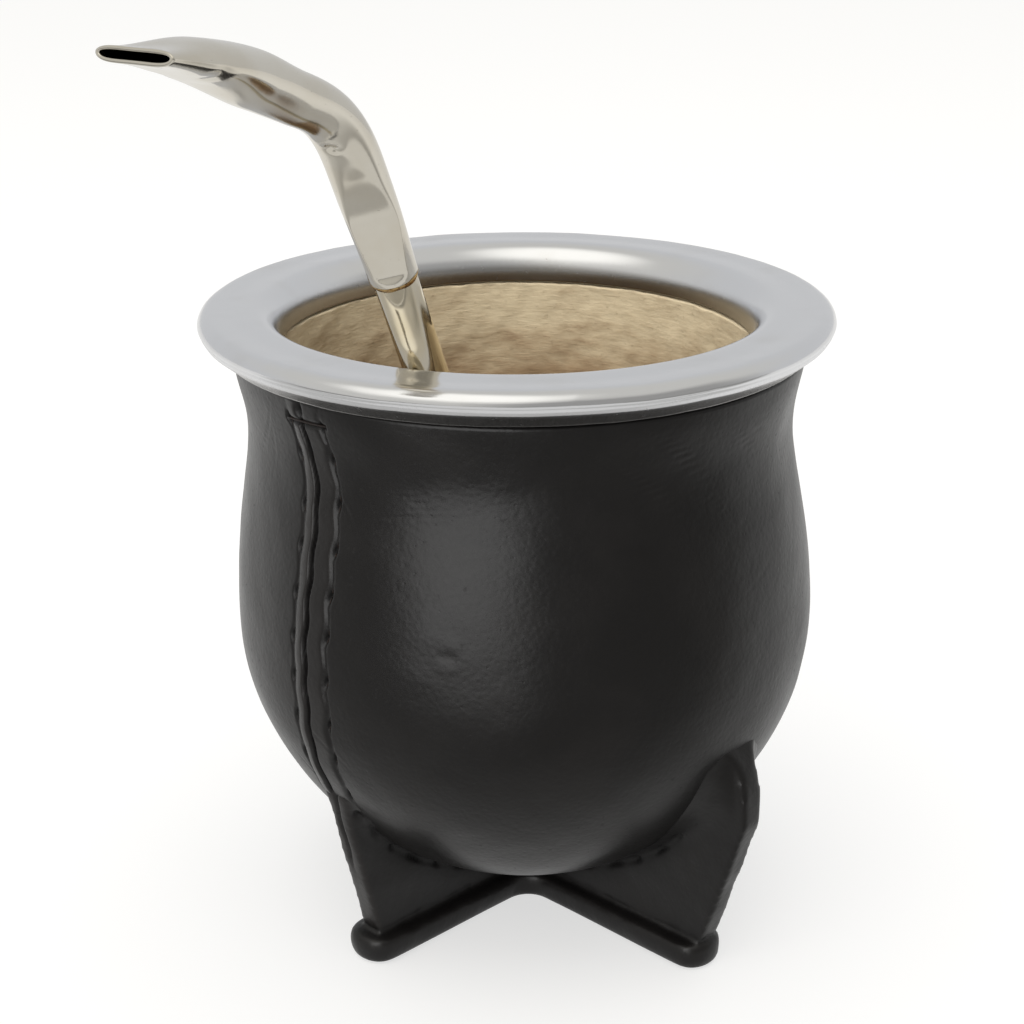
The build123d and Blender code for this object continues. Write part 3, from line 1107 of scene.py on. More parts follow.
@dataclass
class Foot:
    """Four leather webs in a cross, drawn tight over a rolled edge that stands on the floor."""

    shape: CupShape
    arms: list[FootArm] = field(default_factory=lambda: [
        FootArm(-46.6, 36.8, 33.3, 40.3, 30.5), FootArm(46.6, 39.4, 37.5, 45.9, 27.5),
        FootArm(135.0, 37.5, 36.0, 43.8, 29.5), FootArm(-135.0, 37.5, 36.0, 43.8, 29.5)])
    shift: float = 0.55
    half_web: float = 2.1
    fillet: float = 4.2
    sunk: float = 0.30
    merge_rise: float = 13.0
    fullness: float = 0.65
    hub_half: float = 4.1
    tip_half: float = 4.4
    roll_height: float = 4.6
    inner_round: float = 3.4
    grid: float = 0.42
    smoothing: int = 7
    stitch_pitch: float = 5.6
    stitch_gap: float = 0.9
    stitch_depth: float = 0.62
    pull_depth: float = 0.16
    stitch_tops: tuple[float, ...] = (33, 25, 25, 25)
    fold_depth: float = 0.22
    butt_depth: float = 0.45

    def outline(self, arm: FootArm, count: int) -> np.ndarray:
        """Outer edge of a web, from low down to where it meets the belly.

        Args:
            arm: the web's arm.
            count: how many points to return.

        Returns:
            Rows of distance from the middle and height.
        """
        shape = self.shape
        merge = arm.widest_height + self.merge_rise
        top = (math.sqrt(shape.belly_radius ** 2 - (shape.belly_height - merge) ** 2) - 0.9, merge)
        knee = np.array([arm.widest, arm.widest_height])
        ctrl = knee + np.array([0, self.merge_rise * self.fullness])
        lower = np.linspace([arm.toe, self.roll_height / 2], knee, 20)
        t = np.linspace(0, 1, 30)[1:, None]
        curve = knee * (1 - t) ** 2 + 2 * ctrl * t * (1 - t) + np.array(top) * t * t
        line = np.vstack([lower, curve])
        heights = np.linspace(line[0, 1], line[-1, 1], count)
        return np.stack([np.interp(heights, line[:, 1], line[:, 0]), heights], 1)

    def half_thickness(self, along: np.ndarray, height: np.ndarray, edge: np.ndarray) -> np.ndarray:
        """Half the web's thickness, which swells where the leather turns up over the belly.

        Args:
            along: distances from the middle along the arm.
            height: heights above the floor.
            edge: where the web's outer edge is at those heights.

        Returns:
            Half the thickness at each place.
        """
        shape = self.shape
        half = np.full(along.shape, self.half_web)
        size = self.fillet * (0.35 + 1.15 * ease(height, 16, 32))
        size = size * (0.5 + 0.5 * ease(edge - along, 0, 3))
        for _ in range(4):
            away = np.sqrt(along ** 2 + half ** 2 + (shape.belly_height - height) ** 2)
            gap = np.clip(away - shape.belly_radius + self.sunk, 0, size)
            half = self.half_web + size - np.sqrt(size ** 2 - (size - gap) ** 2)
        return half

    def web(self, arm: FootArm) -> Skin:
        """The upright web of one arm.

        Args:
            arm: the web's arm.

        Returns:
            The web's surface.
        """
        shape = self.shape
        edges = self.outline(arm, 90)
        loops = []
        for edge, height in edges:
            inside = max(shape.belly_radius ** 2 - (shape.belly_height - height) ** 2, 0)
            start = max(math.sqrt(inside) - 1.6, 0.0)
            along = np.linspace(start, edge, 50)
            half = self.half_thickness(along, np.full(50, height), np.full(50, edge))
            end = np.linspace(1, -1, 7)[1:-1]
            xs = np.concatenate([along, np.full(5, edge + 0.15), along[::-1]])
            ys = np.concatenate([half, end * half[-1], -half[::-1]])
            loops.append(np.stack([xs, ys, np.full(len(xs), height)], -1))
        return Skin(self.turn(np.array(loops), arm.azimuth), end_caps=True)

    def turn(self, points: np.ndarray, azimuth: float) -> np.ndarray:
        """Turns points from along, across and up into the cup's own directions.

        Args:
            points: rows of along, across and up.
            azimuth: the arm's azimuth.

        Returns:
            Points of the cup.
        """
        along, across = turned(azimuth), turned(azimuth + 90)
        moved = points[..., :1] * along + points[..., 1:2] * across
        moved = moved + points[..., 2:] * np.array([0, 0, 1.0])
        return moved + np.array([self.shift, 0, 0])

    def roll_rows(self) -> np.ndarray:
        """Inset and height of each layer of the rolled edge.

        Returns:
            Rows of inset and height.
        """
        half = self.roll_height / 2
        angles = np.radians(np.linspace(-90, 90, 15))
        inset = 1.7 * (1 - np.abs(np.cos(angles)) ** 0.55)
        return np.stack([inset, half + half * np.sin(angles)], 1)

    def roll(self, arm: FootArm) -> Skin:
        """The rolled edge under one arm, a bar with a round end.

        Args:
            arm: the arm.

        Returns:
            The bar's surface.
        """
        loops = []
        for inset, height in self.roll_rows():
            tip, hub = self.tip_half - inset, self.hub_half - inset
            end = arm.reach - self.tip_half
            turn = np.radians(np.linspace(90, -90, 15))
            squared = np.sign(np.cos(turn)) * np.abs(np.cos(turn)) ** 0.75
            cap = np.stack([end + tip * squared, tip * np.sin(turn)], 1)
            side = np.linspace(0, end, 20)[:-1]
            width = hub + (tip - hub) * ease(side, end * 0.3, end)
            upper = np.stack([side, width], 1)
            lower = np.stack([side, -width], 1)[::-1]
            plan = np.vstack([upper, cap, lower])
            loops.append(np.column_stack([plan, np.full(len(plan), height)]))
        return Skin(self.turn(np.array(loops), arm.azimuth), end_caps=True)

    def hub(self) -> Skin:
        """The rounded corners between the arms of the rolled edge.

        Returns:
            The hub's surface.
        """
        order = sorted(self.arms, key=lambda arm: arm.azimuth)
        loops = []
        for inset, height in self.roll_rows():
            ring = []
            for arm, after in zip(order, order[1:] + [order[0]]):
                spread = (after.azimuth - arm.azimuth) % 360
                middle = math.radians(arm.azimuth + spread / 2)
                half = math.radians(spread / 2)
                round_ = self.inner_round + inset
                away = (self.hub_half + self.inner_round) / math.sin(half)
                for turn in np.linspace(half - math.pi / 2, math.pi / 2 - half, 9):
                    angle = middle + turn
                    x = away * math.sin(middle) - round_ * math.sin(angle)
                    y = -away * math.cos(middle) + round_ * math.cos(angle)
                    ring.append((x + self.shift, y, height))
            loops.append(ring)
        return Skin(np.array(loops), end_caps=True)

    def build(self, material: bpy.types.Material) -> bpy.types.Object:
        """Makes and dresses the foot.

        Args:
            material: the leather's finish.

        Returns:
            The foot's object.
        """
        skins = [make(arm) for arm in self.arms for make in (self.web, self.roll)]
        piece = joined("leather_foot", [*skins, self.hub()])
        remesh = piece.modifiers.new("union", "REMESH")
        remesh.mode = "VOXEL"
        remesh.voxel_size = self.grid * MM
        soften = piece.modifiers.new("soften", "SMOOTH")
        soften.factor = 0.5
        soften.iterations = self.smoothing
        apply_modifiers(piece)
        points = points_of(piece)
        normals = normals_of(piece)
        relief, rubbed, deep = self.stitched(points)
        relief += (0.05 * soft_field(points, 9, 12) + 0.02 * soft_field(points, 4, 13)) * ease(
            points[:, 2], 0.4, 2.5)
        points = points + normals * relief[:, None]
        points[:, 2] = np.maximum(points[:, 2], 0.0)
        set_points(piece, points)
        paint(piece, "rubbed", np.clip(rubbed, 0, 1))
        # Painted shade in the dents, crease, fold and seam groove, for the leather's colour.
        paint(piece, "deep", np.clip(deep, 0, 1))
        return place(piece, material, "black_leather", "foot_base")

    def stitched(self, points: np.ndarray) -> tuple[np.ndarray, ...]:
        """Dents of the stitches beside the belly, the seam on the front left web's edge, and the
        fold above the rolled edge.

        Args:
            points: corner points of the foot.

        Returns:
            Height of the relief, how rubbed each place is, and how much painted shade it gets.
        """
        shape = self.shape
        relief = np.zeros(len(points))
        deep, rubbed = np.zeros(len(points)), np.zeros(len(points))
        local = points - np.array([self.shift, 0, 0])
        height = points[:, 2]
        for index, arm in enumerate(self.arms):
            along = local @ turned(arm.azimuth)
            across = local @ turned(arm.azimuth + 90)
            edges = self.outline(arm, 60)
            edge = np.interp(height, edges[:, 1], edges[:, 0])
            mine = (along > 3.5) & (np.abs(across) < 9)
            away = np.sqrt(along ** 2 + across ** 2 + (shape.belly_height - height) ** 2)
            gap = away - shape.belly_radius
            swing = np.arctan2(along, shape.belly_height - height) * shape.belly_radius
            pitch, highest = self.stitch_pitch, self.stitch_tops[index]
            phase = (swing + 1.3 * index) / pitch
            near = np.abs(phase - np.round(phase)) * pitch
            line = bell(gap - self.stitch_gap, 0.40) * mine * ease(along, 9, 13)
            line = line * ease(height, highest, highest - 2)
            ragged = 1.0 + 0.5 * np.sin(phase * 2.9 + 2.1 * index)
            dent = line * bell(near, 1.35 * ragged)
            relief -= self.stitch_depth * dent + self.pull_depth * line
            # Painted shade in the stitch dents and in the crease under the belly.
            shade = bell(gap, 2.6) * mine * ease(height, 32, 18)
            deep = np.maximum(deep, np.maximum(np.clip(dent * 1.6, 0, 1), 0.85 * shade))
            fold = bell(height - self.roll_height - 0.15, 0.5) * mine
            relief -= self.fold_depth * fold
            # Painted shade in the fold above the rolled edge.
            deep = np.maximum(deep, 0.35 * fold)
            on_edge = ease(along - edge, -1.1, -0.2) * mine * ease(height, self.roll_height, 7)
            if index == 0:
                butt = bell(across + 0.2 * np.sin(height * 0.8), 0.32) * on_edge
                butt = butt * ease(height, 15, 21)
                relief -= self.butt_depth * butt
                # Painted shade in the butt seam's groove.
                deep = np.maximum(deep, butt * 0.8)
                rubbed = np.maximum(rubbed, 0.8 * on_edge * (1 - butt))
        rubbed = np.maximum(rubbed, 0.2 * bell(height - self.roll_height + 0.8, 1.1))
        return relief, rubbed, deep


# ---------------------------------------------------------------- rim and gourd

@dataclass
class Rim:
    """The wide pressed rim: a flat ring with a rounded lip, edge and sloping underside."""

    height: float = 100.0
    shift: float = -1.15
    radius: float = 48.0
    edge_round: float = 2.2
    lip_width: float = 4.0
    lip_height: float = 5.2
    skirt_radius: float = 35.6
    skirt_depth: float = 6.2
    skirt_thickness: float = 2.8
    lower_radius: float = 44.5
    lower_depth: float = 5.6
    under_radius: float = 47.35
    under_depth: float = 3.3
    bead_radius: float = 0.13
    dish: float = 0.10
    crease: float = 0.16
    crease_width: float = 0.22
    raised: float = 0.10
    tilt: float = 0.0024
    around: int = 900

    def section(self) -> np.ndarray:
        """Closed half section, from the skirt's lower end up over the lip to the underside.

        Returns:
            Rows of radius and height.
        """
        top, edge = self.height, self.edge_round
        edge_mid = (self.radius - edge, top - edge)
        lip = arc((0, 0), 1.0, 180, 90, 26) * (self.lip_width, self.lip_height)
        lip += (self.skirt_radius + self.lip_width, top - self.lip_height)
        flat = np.linspace(lip[-1, 0], edge_mid[0], 24)[1:-1]
        share = (flat - flat[0]) / (flat[-1] - flat[0])
        sunk = top - self.dish * np.sin(math.pi * share) ** 2
        back = self.skirt_radius + self.skirt_thickness
        slope = np.array([[self.radius, top - edge], [self.under_radius, top - self.under_depth],
                          [self.lower_radius, top - self.lower_depth]])
        cone = np.vstack([np.linspace(slope[0], slope[1], 8),
                          np.linspace(slope[1], slope[2], 12)[1:]])
        bead = arc((self.lower_radius, top - self.lower_depth + 0.12), self.bead_radius, -20, -150,
                   8)
        rows = [
            np.stack([np.full(5, self.skirt_radius),
                      np.linspace(top - self.skirt_depth + 0.15, lip[0, 1], 5)], 1),
            lip[1:],
            np.stack([flat, sunk], 1),
            arc(edge_mid, edge, 90, 0, 22),
            cone[1:-1],
            bead,
            np.array([[back + 0.3, top - self.lower_depth + 0.1],
                      [back, top - self.lower_depth - 0.3],
                      [back, top - self.skirt_depth + 0.15], [back - 0.2, top - self.skirt_depth],
                      [self.skirt_radius + 0.2, top - self.skirt_depth]]),
        ]
        return np.vstack(rows)

    def build(self, material: bpy.types.Material) -> bpy.types.Object:
        """Makes and dresses the rim.

        Args:
            material: the steel's finish.

        Returns:
            The rim's object.
        """
        section = self.section()
        line = bell(section[:, 1] - (self.height - self.edge_round - 0.1), self.crease_width)
        section[:, 0] -= self.crease * line * (section[:, 0] > self.under_radius - 1)
        rows = lathe(section, even_angles(self.around), self.shift)
        uneven = 0.035 * soft_field(rows, 26, 31) + 0.012 * soft_field(rows, 7, 32)
        outer = ease(np.hypot(rows[..., 0], rows[..., 1]), self.skirt_radius + 1, self.radius - 4)
        rows[..., 2] += self.raised + self.tilt * rows[..., 0] - np.abs(uneven) * outer
        piece = Skin(rows, close_rows=True).mesh("steel_rim")
        return place(piece, material, "rim_metal", "rim_ring")


@dataclass
class GourdShell:
    """The dried gourd inside the cover, scraped and uneven within."""

    shape: CupShape
    rim: Rim
    outset: float = 2.2
    wall: float = 4.6
    neck_wall: float = 3.6
    mouth_clearance: float = 0.2
    seat_gap: float = 0.2
    unevenness: float = 0.16
    around: int = 320

    def build(self, material: bpy.types.Material) -> bpy.types.Object:
        """Makes and dresses the gourd.

        Args:
            material: the gourd's finish.

        Returns:
            The gourd's object.
        """
        shape, rim = self.shape, self.rim
        top = rim.height - rim.skirt_depth - self.seat_gap
        outer = shape.profile(self.outset, self.outset, shape.collar_radius - self.outset, top,
                              40, 50)
        neck = self.outset + self.neck_wall
        mouth = rim.skirt_radius + self.mouth_clearance
        inner = shape.profile(self.outset + self.wall, neck, mouth, top, 90, 110)
        angles = even_angles(self.around)
        outside = lathe(outer, angles)
        inside = lathe(inner[::-1], angles, rim.shift)
        reach = np.array([0, 0, shape.belly_height])
        inward = reach - inside
        inward /= np.linalg.norm(inward, axis=-1)[..., None]
        scraped = soft_field(inside, 11, 41) * 0.7 + soft_field(inside, 3.4, 42, 20) * 0.3
        scraped += 0.35 * soft_field(inside * np.array([1, 1, 0.25]), 2.2, 43, 20)
        inside = inside + inward * np.clip(scraped, -1.5, 1.5)[..., None] * self.unevenness
        piece = Skin(np.concatenate([outside, inside]), end_caps=True).mesh("gourd_bowl")
        return place(piece, material, "gourd_shell", "gourd")


# ---------------------------------------------------------------- straw

@dataclass
class Straw:
    """The drinking straw: a round stem, and a mouthpiece brazed on it that flattens to a slot.
    Each dimple is given by its place along the mouthpiece, its angle round it, its length, its
    width in degrees and its depth, and each station by its place, half width, upper half and
    lower half."""

    crossing: tuple[float, float, float] = (-14.13, -31.17, 100.0)
    radius: float = 3.0
    wall: float = 0.6
    lean: float = 24.8
    heading: float = 33.0
    rise: float = 14.3
    sleeve_overlap: float = 6.0
    sleeve_bore: float = 3.05
    length: float = 61.4
    bend_start: float = 16.1
    bend_end: float = 33.0
    after_bend: float = 25.4
    at_tip: float = 10.7
    more_lean: float = 1.7
    lean_ease: float = 5.0
    skin: float = 0.55
    lip_round: float = 0.16
    round_until: float = 33.8
    flatness: float = 0.6
    dimples: list[tuple[float, float, float, float, float]] = field(default_factory=lambda: [
        (23.5, 14, 0.75, 15, 0.55), (53.3, 72, 1.1, 12, 0.30), (53.3, -72, 1.1, 12, 0.30)])
    facet_turn: float = 33.0
    facet_depth: float = 1.5
    stations: list[tuple[float, float, float, float]] = field(default_factory=lambda: [
        (0.0, 3.4, 3.4, 3.4), (12.3, 3.87, 3.63, 3.39), (25.8, 4.01, 3.33, 3.24),
        (33.8, 4.01, 3.64, 3.10), (41.8, 4.68, 3.51, 3.61), (51.6, 6.13, 2.00, 3.03),
        (61.4, 5.69, 1.19, 1.01)])

    def __post_init__(self) -> None:
        """Works out the straw's directions and its middle line."""
        self.ahead = turned(-self.heading)
        self.across = turned(90 - self.heading)
        self.up = np.array([0, 0, 1.0])
        lean = math.radians(self.lean)
        self.stem_up = self.ahead * math.sin(lean) + self.up * math.cos(lean)
        self.stem_over = np.cross(self.stem_up, self.across)
        self.fine = np.linspace(0, self.length, 3001)
        angle = self.angle(self.fine)
        way = np.cos(angle)[:, None] * self.ahead + np.sin(angle)[:, None] * self.up
        step = self.fine[1]
        walked = np.vstack([np.zeros(3), np.cumsum((way[1:] + way[:-1]) / 2 * step, axis=0)])
        self.spine = np.array(self.crossing) + self.stem_up * self.rise + walked

    def angle(self, u: np.ndarray) -> np.ndarray:
        """Angle of the middle line above level, in radians, at a place along the mouthpiece.

        Args:
            u: places along the mouthpiece.

        Returns:
            An angle for each place.
        """
        eased = np.clip((u - self.sleeve_overlap) / self.lean_ease, 0, 1)
        start = np.radians(90 - self.lean - self.more_lean * eased)
        middle, end = math.radians(self.after_bend), math.radians(self.at_tip)
        half = (self.bend_start + self.bend_end) / 2
        droop = np.clip((u - half) / (self.length - half), 0, 1)
        return start + (middle - start) * ease(u, self.bend_start, self.bend_end) \
            + (end - middle) * droop

    def size(self, u: np.ndarray, column: int) -> np.ndarray:
        """A size at a place along the mouthpiece, smooth and without overshoot.

        Args:
            u: places along the mouthpiece.
            column: which size: 1 half the width, 2 the upper half, 3 the lower half.

        Returns:
            A size for each place.
        """
        rows = np.array(self.stations)
        places, sizes = rows[:, 0], rows[:, column]
        rates = np.diff(sizes) / np.diff(places)
        slopes = np.zeros(len(rows))
        for i in range(1, len(rows) - 1):
            before, after = rates[i - 1], rates[i]
            slopes[i] = 2 * before * after / (before + after) if before * after > 0 else 0
        i = np.clip(np.searchsorted(places, u, side="right") - 1, 0, len(rows) - 2)
        span = places[i + 1] - places[i]
        t = (u - places[i]) / span
        return (sizes[i] * (1 + 2 * t) * (1 - t) ** 2 + slopes[i] * span * t * (1 - t) ** 2
                + sizes[i + 1] * t * t * (3 - 2 * t) - slopes[i + 1] * span * t * t * (1 - t))

    def loops(self, u: np.ndarray, inset: np.ndarray, around: int = 112) -> np.ndarray:
        """Rings of points round the mouthpiece.

        Args:
            u: places along it.
            inset: how far each ring lies inside the outer surface.
            around: points in a ring.

        Returns:
            Points in millimetres, rings by points.
        """
        turn = np.linspace(0, 2 * math.pi, around, endpoint=False)[None]
        half = (self.size(u, 1) - inset)[:, None]
        upper, lower = (self.size(u, 2) - inset)[:, None], (self.size(u, 3) - inset)[:, None]
        flat = ease(u, self.round_until + 8, self.length - 1)[:, None]
        bend = np.minimum((upper + lower) / 2, half)
        side = np.sign(np.cos(turn)) * np.abs(np.cos(turn)) ** (1 - self.flatness * flat)
        x = (half - bend) * side + bend * np.cos(turn)
        y = -np.where(np.sin(turn) >= 0, upper, lower) * np.sin(turn)
        pinch = 0.16 * ease(u, 52, 60)[:, None] * (1 - np.clip(np.abs(x) / half, 0, 1) ** 2)
        y = y * (1 - pinch)
        x, y = self.facet(u[:, None], inset[:, None], x, y)
        x, y = self.dents(u[:, None], x, y)
        angle = self.angle(u)
        middle = np.stack([np.interp(u, self.fine, self.spine[:, k]) for k in range(3)], 1)
        over = np.cos(angle)[:, None] * self.up - np.sin(angle)[:, None] * self.ahead
        return middle[:, None] + x[..., None] * self.across + y[..., None] * over[:, None]

    def facet(self, u: np.ndarray, inset: np.ndarray, x: np.ndarray,
              y: np.ndarray) -> tuple[np.ndarray, np.ndarray]:
        """Presses the front of the sleeve flat in the shape of a tongue.

        Args:
            u: places along the mouthpiece.
            inset: how far inside the outer surface each ring lies.
            x: places across it.
            y: places above its middle line.

        Returns:
            The pressed x and y.
        """
        turn = math.radians(self.facet_turn)
        toward = -y * math.cos(turn) + x * math.sin(turn)
        depth = self.facet_depth * (0.55 * ease(u, 0.2, 1.8) + 0.45 * ease(u, 1.5, 10.0))
        limit = self.size(u, 3) - inset - depth * (1 - ease(u, 9.0, 20.0))
        soft = 0.05 + 0.15 * ease(u, 6.0, 14.0)
        over = soft * np.logaddexp(0, (toward - limit) / soft) * (1 - ease(u, 17.0, 22.0))
        return x - over * math.sin(turn), y + over * math.cos(turn)

    def dents(self, u: np.ndarray, x: np.ndarray, y: np.ndarray) -> tuple[np.ndarray, np.ndarray]:
        """The pinch inside the bend and the dimples where the mouthpiece turns flat.

        Args:
            u: places along the mouthpiece.
            x: places across it.
            y: places above its middle line.

        Returns:
            The dented x and y.
        """
        reach = np.hypot(x, y)
        around = np.degrees(np.arctan2(x, -y))
        for where, angle, size, wide, deep in self.dimples:
            dent = deep * bell(u - where, size) * bell((around - angle + 180) % 360 - 180, wide)
            x = x - x / reach * dent
            y = y - y / reach * dent
        return x, y

    def mouthpiece(self, material: bpy.types.Material) -> bpy.types.Object:
        """Makes and dresses the hollow mouthpiece.

        Args:
            material: its finish.

        Returns:
            The mouthpiece's object.
        """
        edge, corner = self.lip_round, 0.04
        out = np.linspace(edge, self.length - edge, 240)
        tip = np.full(3, self.length)
        into = np.linspace(self.length - edge, self.sleeve_overlap + 0.1, 120)
        socket = np.linspace(self.sleeve_overlap, edge, 16)
        socket_inset = self.size(socket, 1) - self.sleeve_bore
        u = np.concatenate([[0.0, corner], out, [self.length - corner], tip,
                            [self.length - corner], into, socket, [corner, 0.0]])
        inset = np.concatenate([[edge, corner], 0 * out, [corner],
                                [0.15, self.skin / 2, self.skin - 0.15],
                                [self.skin - corner], self.skin + 0 * into, socket_inset,
                                [0.33, 0.24]])
        piece = Skin(self.loops(u, inset), close_rows=True).mesh("straw_mouthpiece_shell")
        return place(piece, material, "straw_metal", "straw_mouthpiece")

    def tube(self, places: np.ndarray, radii: np.ndarray, around: int = 72,
             uneven: float = 0.0) -> np.ndarray:
        """Rings round the stem's axis.

        Args:
            places: distance of each ring along the stem from the rim's level.
            radii: each ring's radius.
            around: points in a ring.
            uneven: how irregular the rings are.

        Returns:
            Points in millimetres, rings by points.
        """
        turn = np.linspace(0, 2 * math.pi, around, endpoint=False)
        ring = np.cos(turn)[:, None] * self.across + np.sin(turn)[:, None] * self.stem_over
        wobble = uneven * np.sin(turn * 2 + 0.7) + uneven * 0.6 * np.sin(turn * 5 + 2.0)
        reach = radii[:, None] + wobble[None]
        along = np.array(self.crossing) + places[:, None] * self.stem_up
        return along[:, None] + ring[None] * reach[..., None]

    def stem(self, material: bpy.types.Material) -> bpy.types.Object:
        """Makes and dresses the round stem.

        Args:
            material: its finish.

        Returns:
            The stem's object.
        """
        strainer_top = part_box("straw_strainer")[1][2] / MM
        tilt = math.sin(math.radians(self.lean)) * self.radius
        bottom = (strainer_top - tilt - self.crossing[2]) / self.stem_up[2]
        top = self.rise + 0.8
        inner = self.radius - self.wall
        outside = np.linspace(bottom + 0.1, top - 0.1, 60)
        inside = np.linspace(top - 0.1, bottom + 0.1, 30)
        places = np.concatenate([[bottom], outside, [top], [top], inside, [bottom]])
        radii = np.concatenate([[self.radius - 0.1], np.full(60, self.radius), [self.radius - 0.1],
                                [inner + 0.1], np.full(30, inner), [inner + 0.1]])
        piece = Skin(self.tube(places, radii), close_rows=True).mesh("straw_stem_tube")
        return place(piece, material, "straw_metal", "straw_stem")

    def braze(self, material: bpy.types.Material) -> bpy.types.Object:
        """Makes and dresses the ring of braze under the sleeve.

        Args:
            material: its finish.

        Returns:
            The ring's object.
        """
        top = self.rise
        places = top + np.array([-0.75, -0.55, -0.3, -0.1, 0.02, -0.1, -0.5])
        radii = np.array([3.03, 3.10, 3.24, 3.34, 3.30, 3.02, 2.98])
        rows = self.tube(places, radii, uneven=0.05)
        piece = Skin(rows, close_rows=True).mesh("braze_ring")
        return place(piece, material, "braze", "straw_braze")


# ---------------------------------------------------------------- studio

class Shine(Enum):
    """Whether a lamp shows as a highlight or only gives light."""

    MATT = "matt"
    GLOSSY = "glossy"


@dataclass
class Lamp:
    """A plain rectangular lamp that looks at a place on the cup's axis, aim metres up, and may
    light only some pieces."""

    name: str
    azimuth: float
    elevation: float
    distance: float
    size: tuple[float, float]
    level: float
    seen_in: Shine = Shine.MATT
    aim: float = 0.06
    only: list[bpy.types.Object] = field(default_factory=list)

    def light(self) -> None:
        """Puts the lamp in the scene; level is the brightness of its face, where 1 is white."""
        data = bpy.data.lights.new(self.name, "AREA")
        data.shape = "RECTANGLE"
        data.size, data.size_y = self.size
        data.energy = self.level * math.pi * self.size[0] * self.size[1]
        lamp = bpy.data.objects.new(self.name, data)
        flat = math.cos(math.radians(self.elevation)) * self.distance
        aim = Vector((0, 0, self.aim))
        lamp.location = Vector(turned(self.azimuth)) * flat + aim
        lamp.location.z += math.sin(math.radians(self.elevation)) * self.distance
        lamp.rotation_euler = (aim - lamp.location).to_track_quat("-Z", "Y").to_euler()
        lamp.visible_camera = False
        lamp.visible_glossy = self.seen_in is Shine.GLOSSY
        bpy.context.scene.collection.objects.link(lamp)
        if self.only:
            group = bpy.data.collections.new(self.name)
            for piece in self.only:
                group.objects.link(piece)
            lamp.light_linking.receiver_collection = group


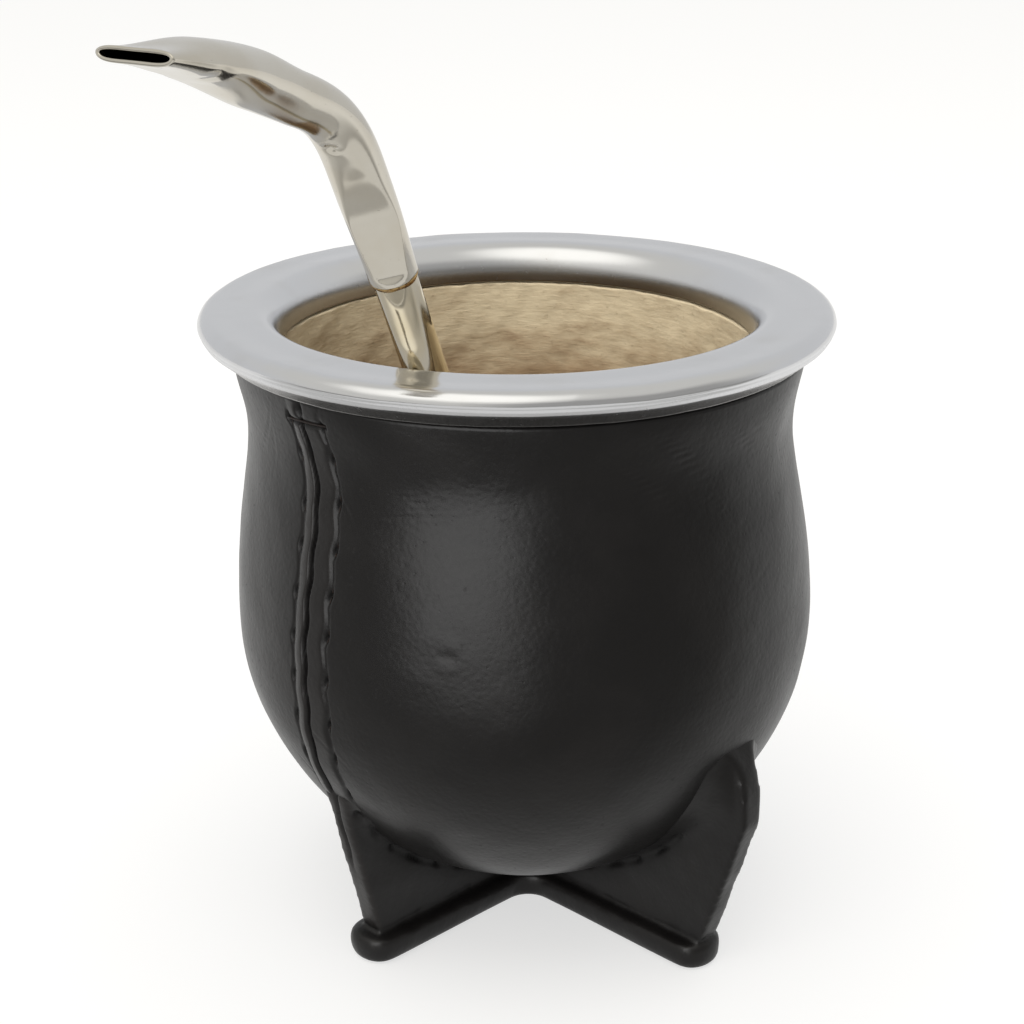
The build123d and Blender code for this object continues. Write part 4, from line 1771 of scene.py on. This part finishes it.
@dataclass
class Studio:
    """White floor, soft surroundings, lamps and the camera."""

    leather_pieces: list[bpy.types.Object]
    bowl: list[bpy.types.Object]
    metal: list[bpy.types.Object]
    camera_place: tuple[float, float, float] = (-1.20, -293.16, 176.57)
    camera_turn: tuple[float, float, float] = (69.29, 0.16, 0.086)
    lens: float = 70.03
    floor_half: float = 6.0
    floor_plain: float = 0.33
    floor_paper: float = 0.42
    floor_glow: float = 0.64
    gloss_share: float = 0.2
    floor_share: float = 0.75
    floor_least: float = 0.05
    room: float = 0.60
    dimmed: float = 0.38
    softbox: float = 0.85
    softbox_way: tuple[float, float] = (-32, 58)
    cool: tuple[float, float, float, float] = (0.975, 0.985, 1.0, 1.0)
    warm: tuple[float, float, float, float] = (1.0, 0.975, 0.90, 1.0)

    def lamps(self) -> list[Lamp]:
        """The broad soft light from above, the window that the leather shines in, the light that
        reaches into the bowl, and the pale strip of floor that the metal mirrors.

        Returns:
            The lamps, not yet in the scene.
        """
        return [Lamp("overhead", 0, 84, 0.9, (0.9, 0.9), 1.5),
                Lamp("window", -21, 7, 0.215, (0.15, 0.19), 2.6, Shine.GLOSSY,
                     only=self.leather_pieces),
                Lamp("into_bowl", -30, 52, 0.6, (0.35, 0.35), 7.4, only=self.bowl),
                Lamp("front_floor", 0, -83.46, 2.984, (0.50, 0.52), 0.40, Shine.GLOSSY,
                     aim=3.0, only=self.metal)]

    def floor(self) -> None:
        """The floor, white to the eye, which keeps the cup's shadow."""
        half = self.floor_half / MM
        corners = np.array([[-half, -half, 0], [half, -half, 0], [half, half, 0], [-half, half, 0]])
        data = bpy.data.meshes.new("floor")
        data.from_pydata((corners * MM).tolist(), [], [(0, 1, 2, 3)])
        floor = bpy.data.objects.new("floor", data)
        bpy.context.scene.collection.objects.link(floor)
        bench = Bench("white_floor")
        where = bench.place()
        right, back = bench.part(where, "X"), bench.part(where, "Y")
        side = right.graded(-0.02, -0.09) * back.graded(0.06, -0.02)
        away = right * 0.1 - back
        bright = (1 - away.graded(0.0, 0.11)) * (1 - side * 0.55) * self.floor_share
        seen = self.seen(bench, bright + self.floor_least)
        plain, paper = (bench.node("ShaderNodeBsdfDiffuse", {}, {"Color": (grey, grey, grey, 1)})
                        for grey in (self.floor_plain, self.floor_paper))
        glow = bench.node("ShaderNodeEmission", {}, {"Strength": self.floor_glow})
        lit = bench.node("ShaderNodeAddShader", {}, {0: paper.outputs[0], 1: glow.outputs[0]})
        mix = bench.node("ShaderNodeMixShader", {}, {0: seen, 1: plain.outputs[0],
                                                      2: lit.outputs[0]})
        data.materials.append(bench.end(mix.outputs[0]))

    def seen(self, bench: Bench, share: Signal | float) -> Signal:
        """1 for what the camera and glass see, a share of it for what polished metal shows, and
        0 for what only gives light.

        Args:
            bench: the tree that needs it.
            share: what polished metal shows, from 0 to 1.

        Returns:
            The share.
        """
        path = bench.node("ShaderNodeLightPath")
        names = ("Is Camera Ray", "Is Glossy Ray", "Is Transmission Ray")
        camera, gloss, through = (Signal(bench, path.outputs[name]) for name in names)
        return (camera + through + gloss * share).at_most(1.0)

    def surroundings(self) -> None:
        """A soft white room, darker on the right of the side that the camera is on, with a warm
        light high on the left."""
        bench = Bench("room", world=True)
        way = bench.node("ShaderNodeTexCoord").outputs["Generated"]
        right, front = bench.part(way, "X"), bench.part(way, "Y") * -1.0
        height = bench.part(way, "Z")
        dim = (right * 0.62 + front * 0.78).graded(0.45, 0.85) * (1 - height.graded(0.45, 0.75))
        azimuth, rise = self.softbox_way
        lamp = turned(azimuth) * math.cos(math.radians(rise)) + [0, 0, math.sin(math.radians(rise))]
        glow = Signal(bench, bench.vector("DOT_PRODUCT", way, tuple(lamp))).graded(0.77, 0.985)
        level = self.room - dim * self.dimmed + glow * self.softbox
        warmth = (front + height).graded(-0.3, 0.7)
        cool, warm = (bench.node("ShaderNodeBackground", {}, {"Color": colour, "Strength": level})
                      for colour in (self.cool, self.warm))
        soft = bench.node("ShaderNodeMixShader", {}, {0: warmth, 1: cool.outputs[0],
                                                       2: warm.outputs[0]})
        white = bench.node("ShaderNodeBackground", {}, {"Color": (1, 1, 1, 1), "Strength": 1.0})
        seen = self.seen(bench, self.gloss_share)
        mix = bench.node("ShaderNodeMixShader", {}, {0: seen, 1: soft.outputs[0],
                                                      2: white.outputs[0]})
        bpy.context.scene.world = bench.end(mix.outputs[0])

    def camera(self) -> None:
        """The camera, a little above the cup and straight in front of it."""
        data = bpy.data.cameras.new("camera")
        data.lens = self.lens
        data.sensor_width = 36
        data.clip_start = 0.01
        camera = bpy.data.objects.new("camera", data)
        camera.location = Vector(self.camera_place) * MM
        camera.rotation_euler = Euler([math.radians(a) for a in self.camera_turn])
        bpy.context.scene.collection.objects.link(camera)
        bpy.context.scene.camera = camera

    def build(self) -> None:
        """Makes all of it."""
        bpy.context.scene.view_settings.view_transform = "Standard"
        self.floor()
        self.surroundings()
        for lamp in self.lamps():
            lamp.light()
        self.camera()


# ---------------------------------------------------------------- the whole

def dress_node(name: str, material: bpy.types.Material) -> None:
    """Gives a kept node its finish.

    Args:
        name: the node's name.
        material: its finish.
    """
    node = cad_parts[name]
    node.data.materials.clear()
    node.data.materials.append(material)
    log.info("%s: kept node", name)


def main() -> None:
    """Builds the cup piece by piece, then the studio round it."""
    logging.basicConfig(level=logging.INFO)
    shape = CupShape()
    rim = Rim()
    leather = BlackLeather().material()
    cover = LeatherCover(shape, Seam())
    hides = [cover.build(leather), Foot(shape).build(leather)]
    cover.threads(WaxedThread().material())
    ring = rim.build(TurnedSteel(rim.shift, rim.height, rim.skirt_radius).material())
    bowl = GourdShell(shape, rim).build(DriedGourd(rim.height).material())
    straw = Straw()
    plate = PlatedStraw("plated_mouthpiece").material()
    golden = PlatedStraw("plated_stem", colour=(0.76, 0.69, 0.545), tinge=(0.70, 0.61, 0.44),
                         gloss=0.045).material()
    mouthpiece = straw.mouthpiece(plate)
    straw.stem(golden)
    straw.braze(BrassBraze().material())
    dress_node("straw_strainer", plate)
    Studio(hides, [bowl], [ring, mouthpiece]).build()


if __name__ == "__main__":
    main()
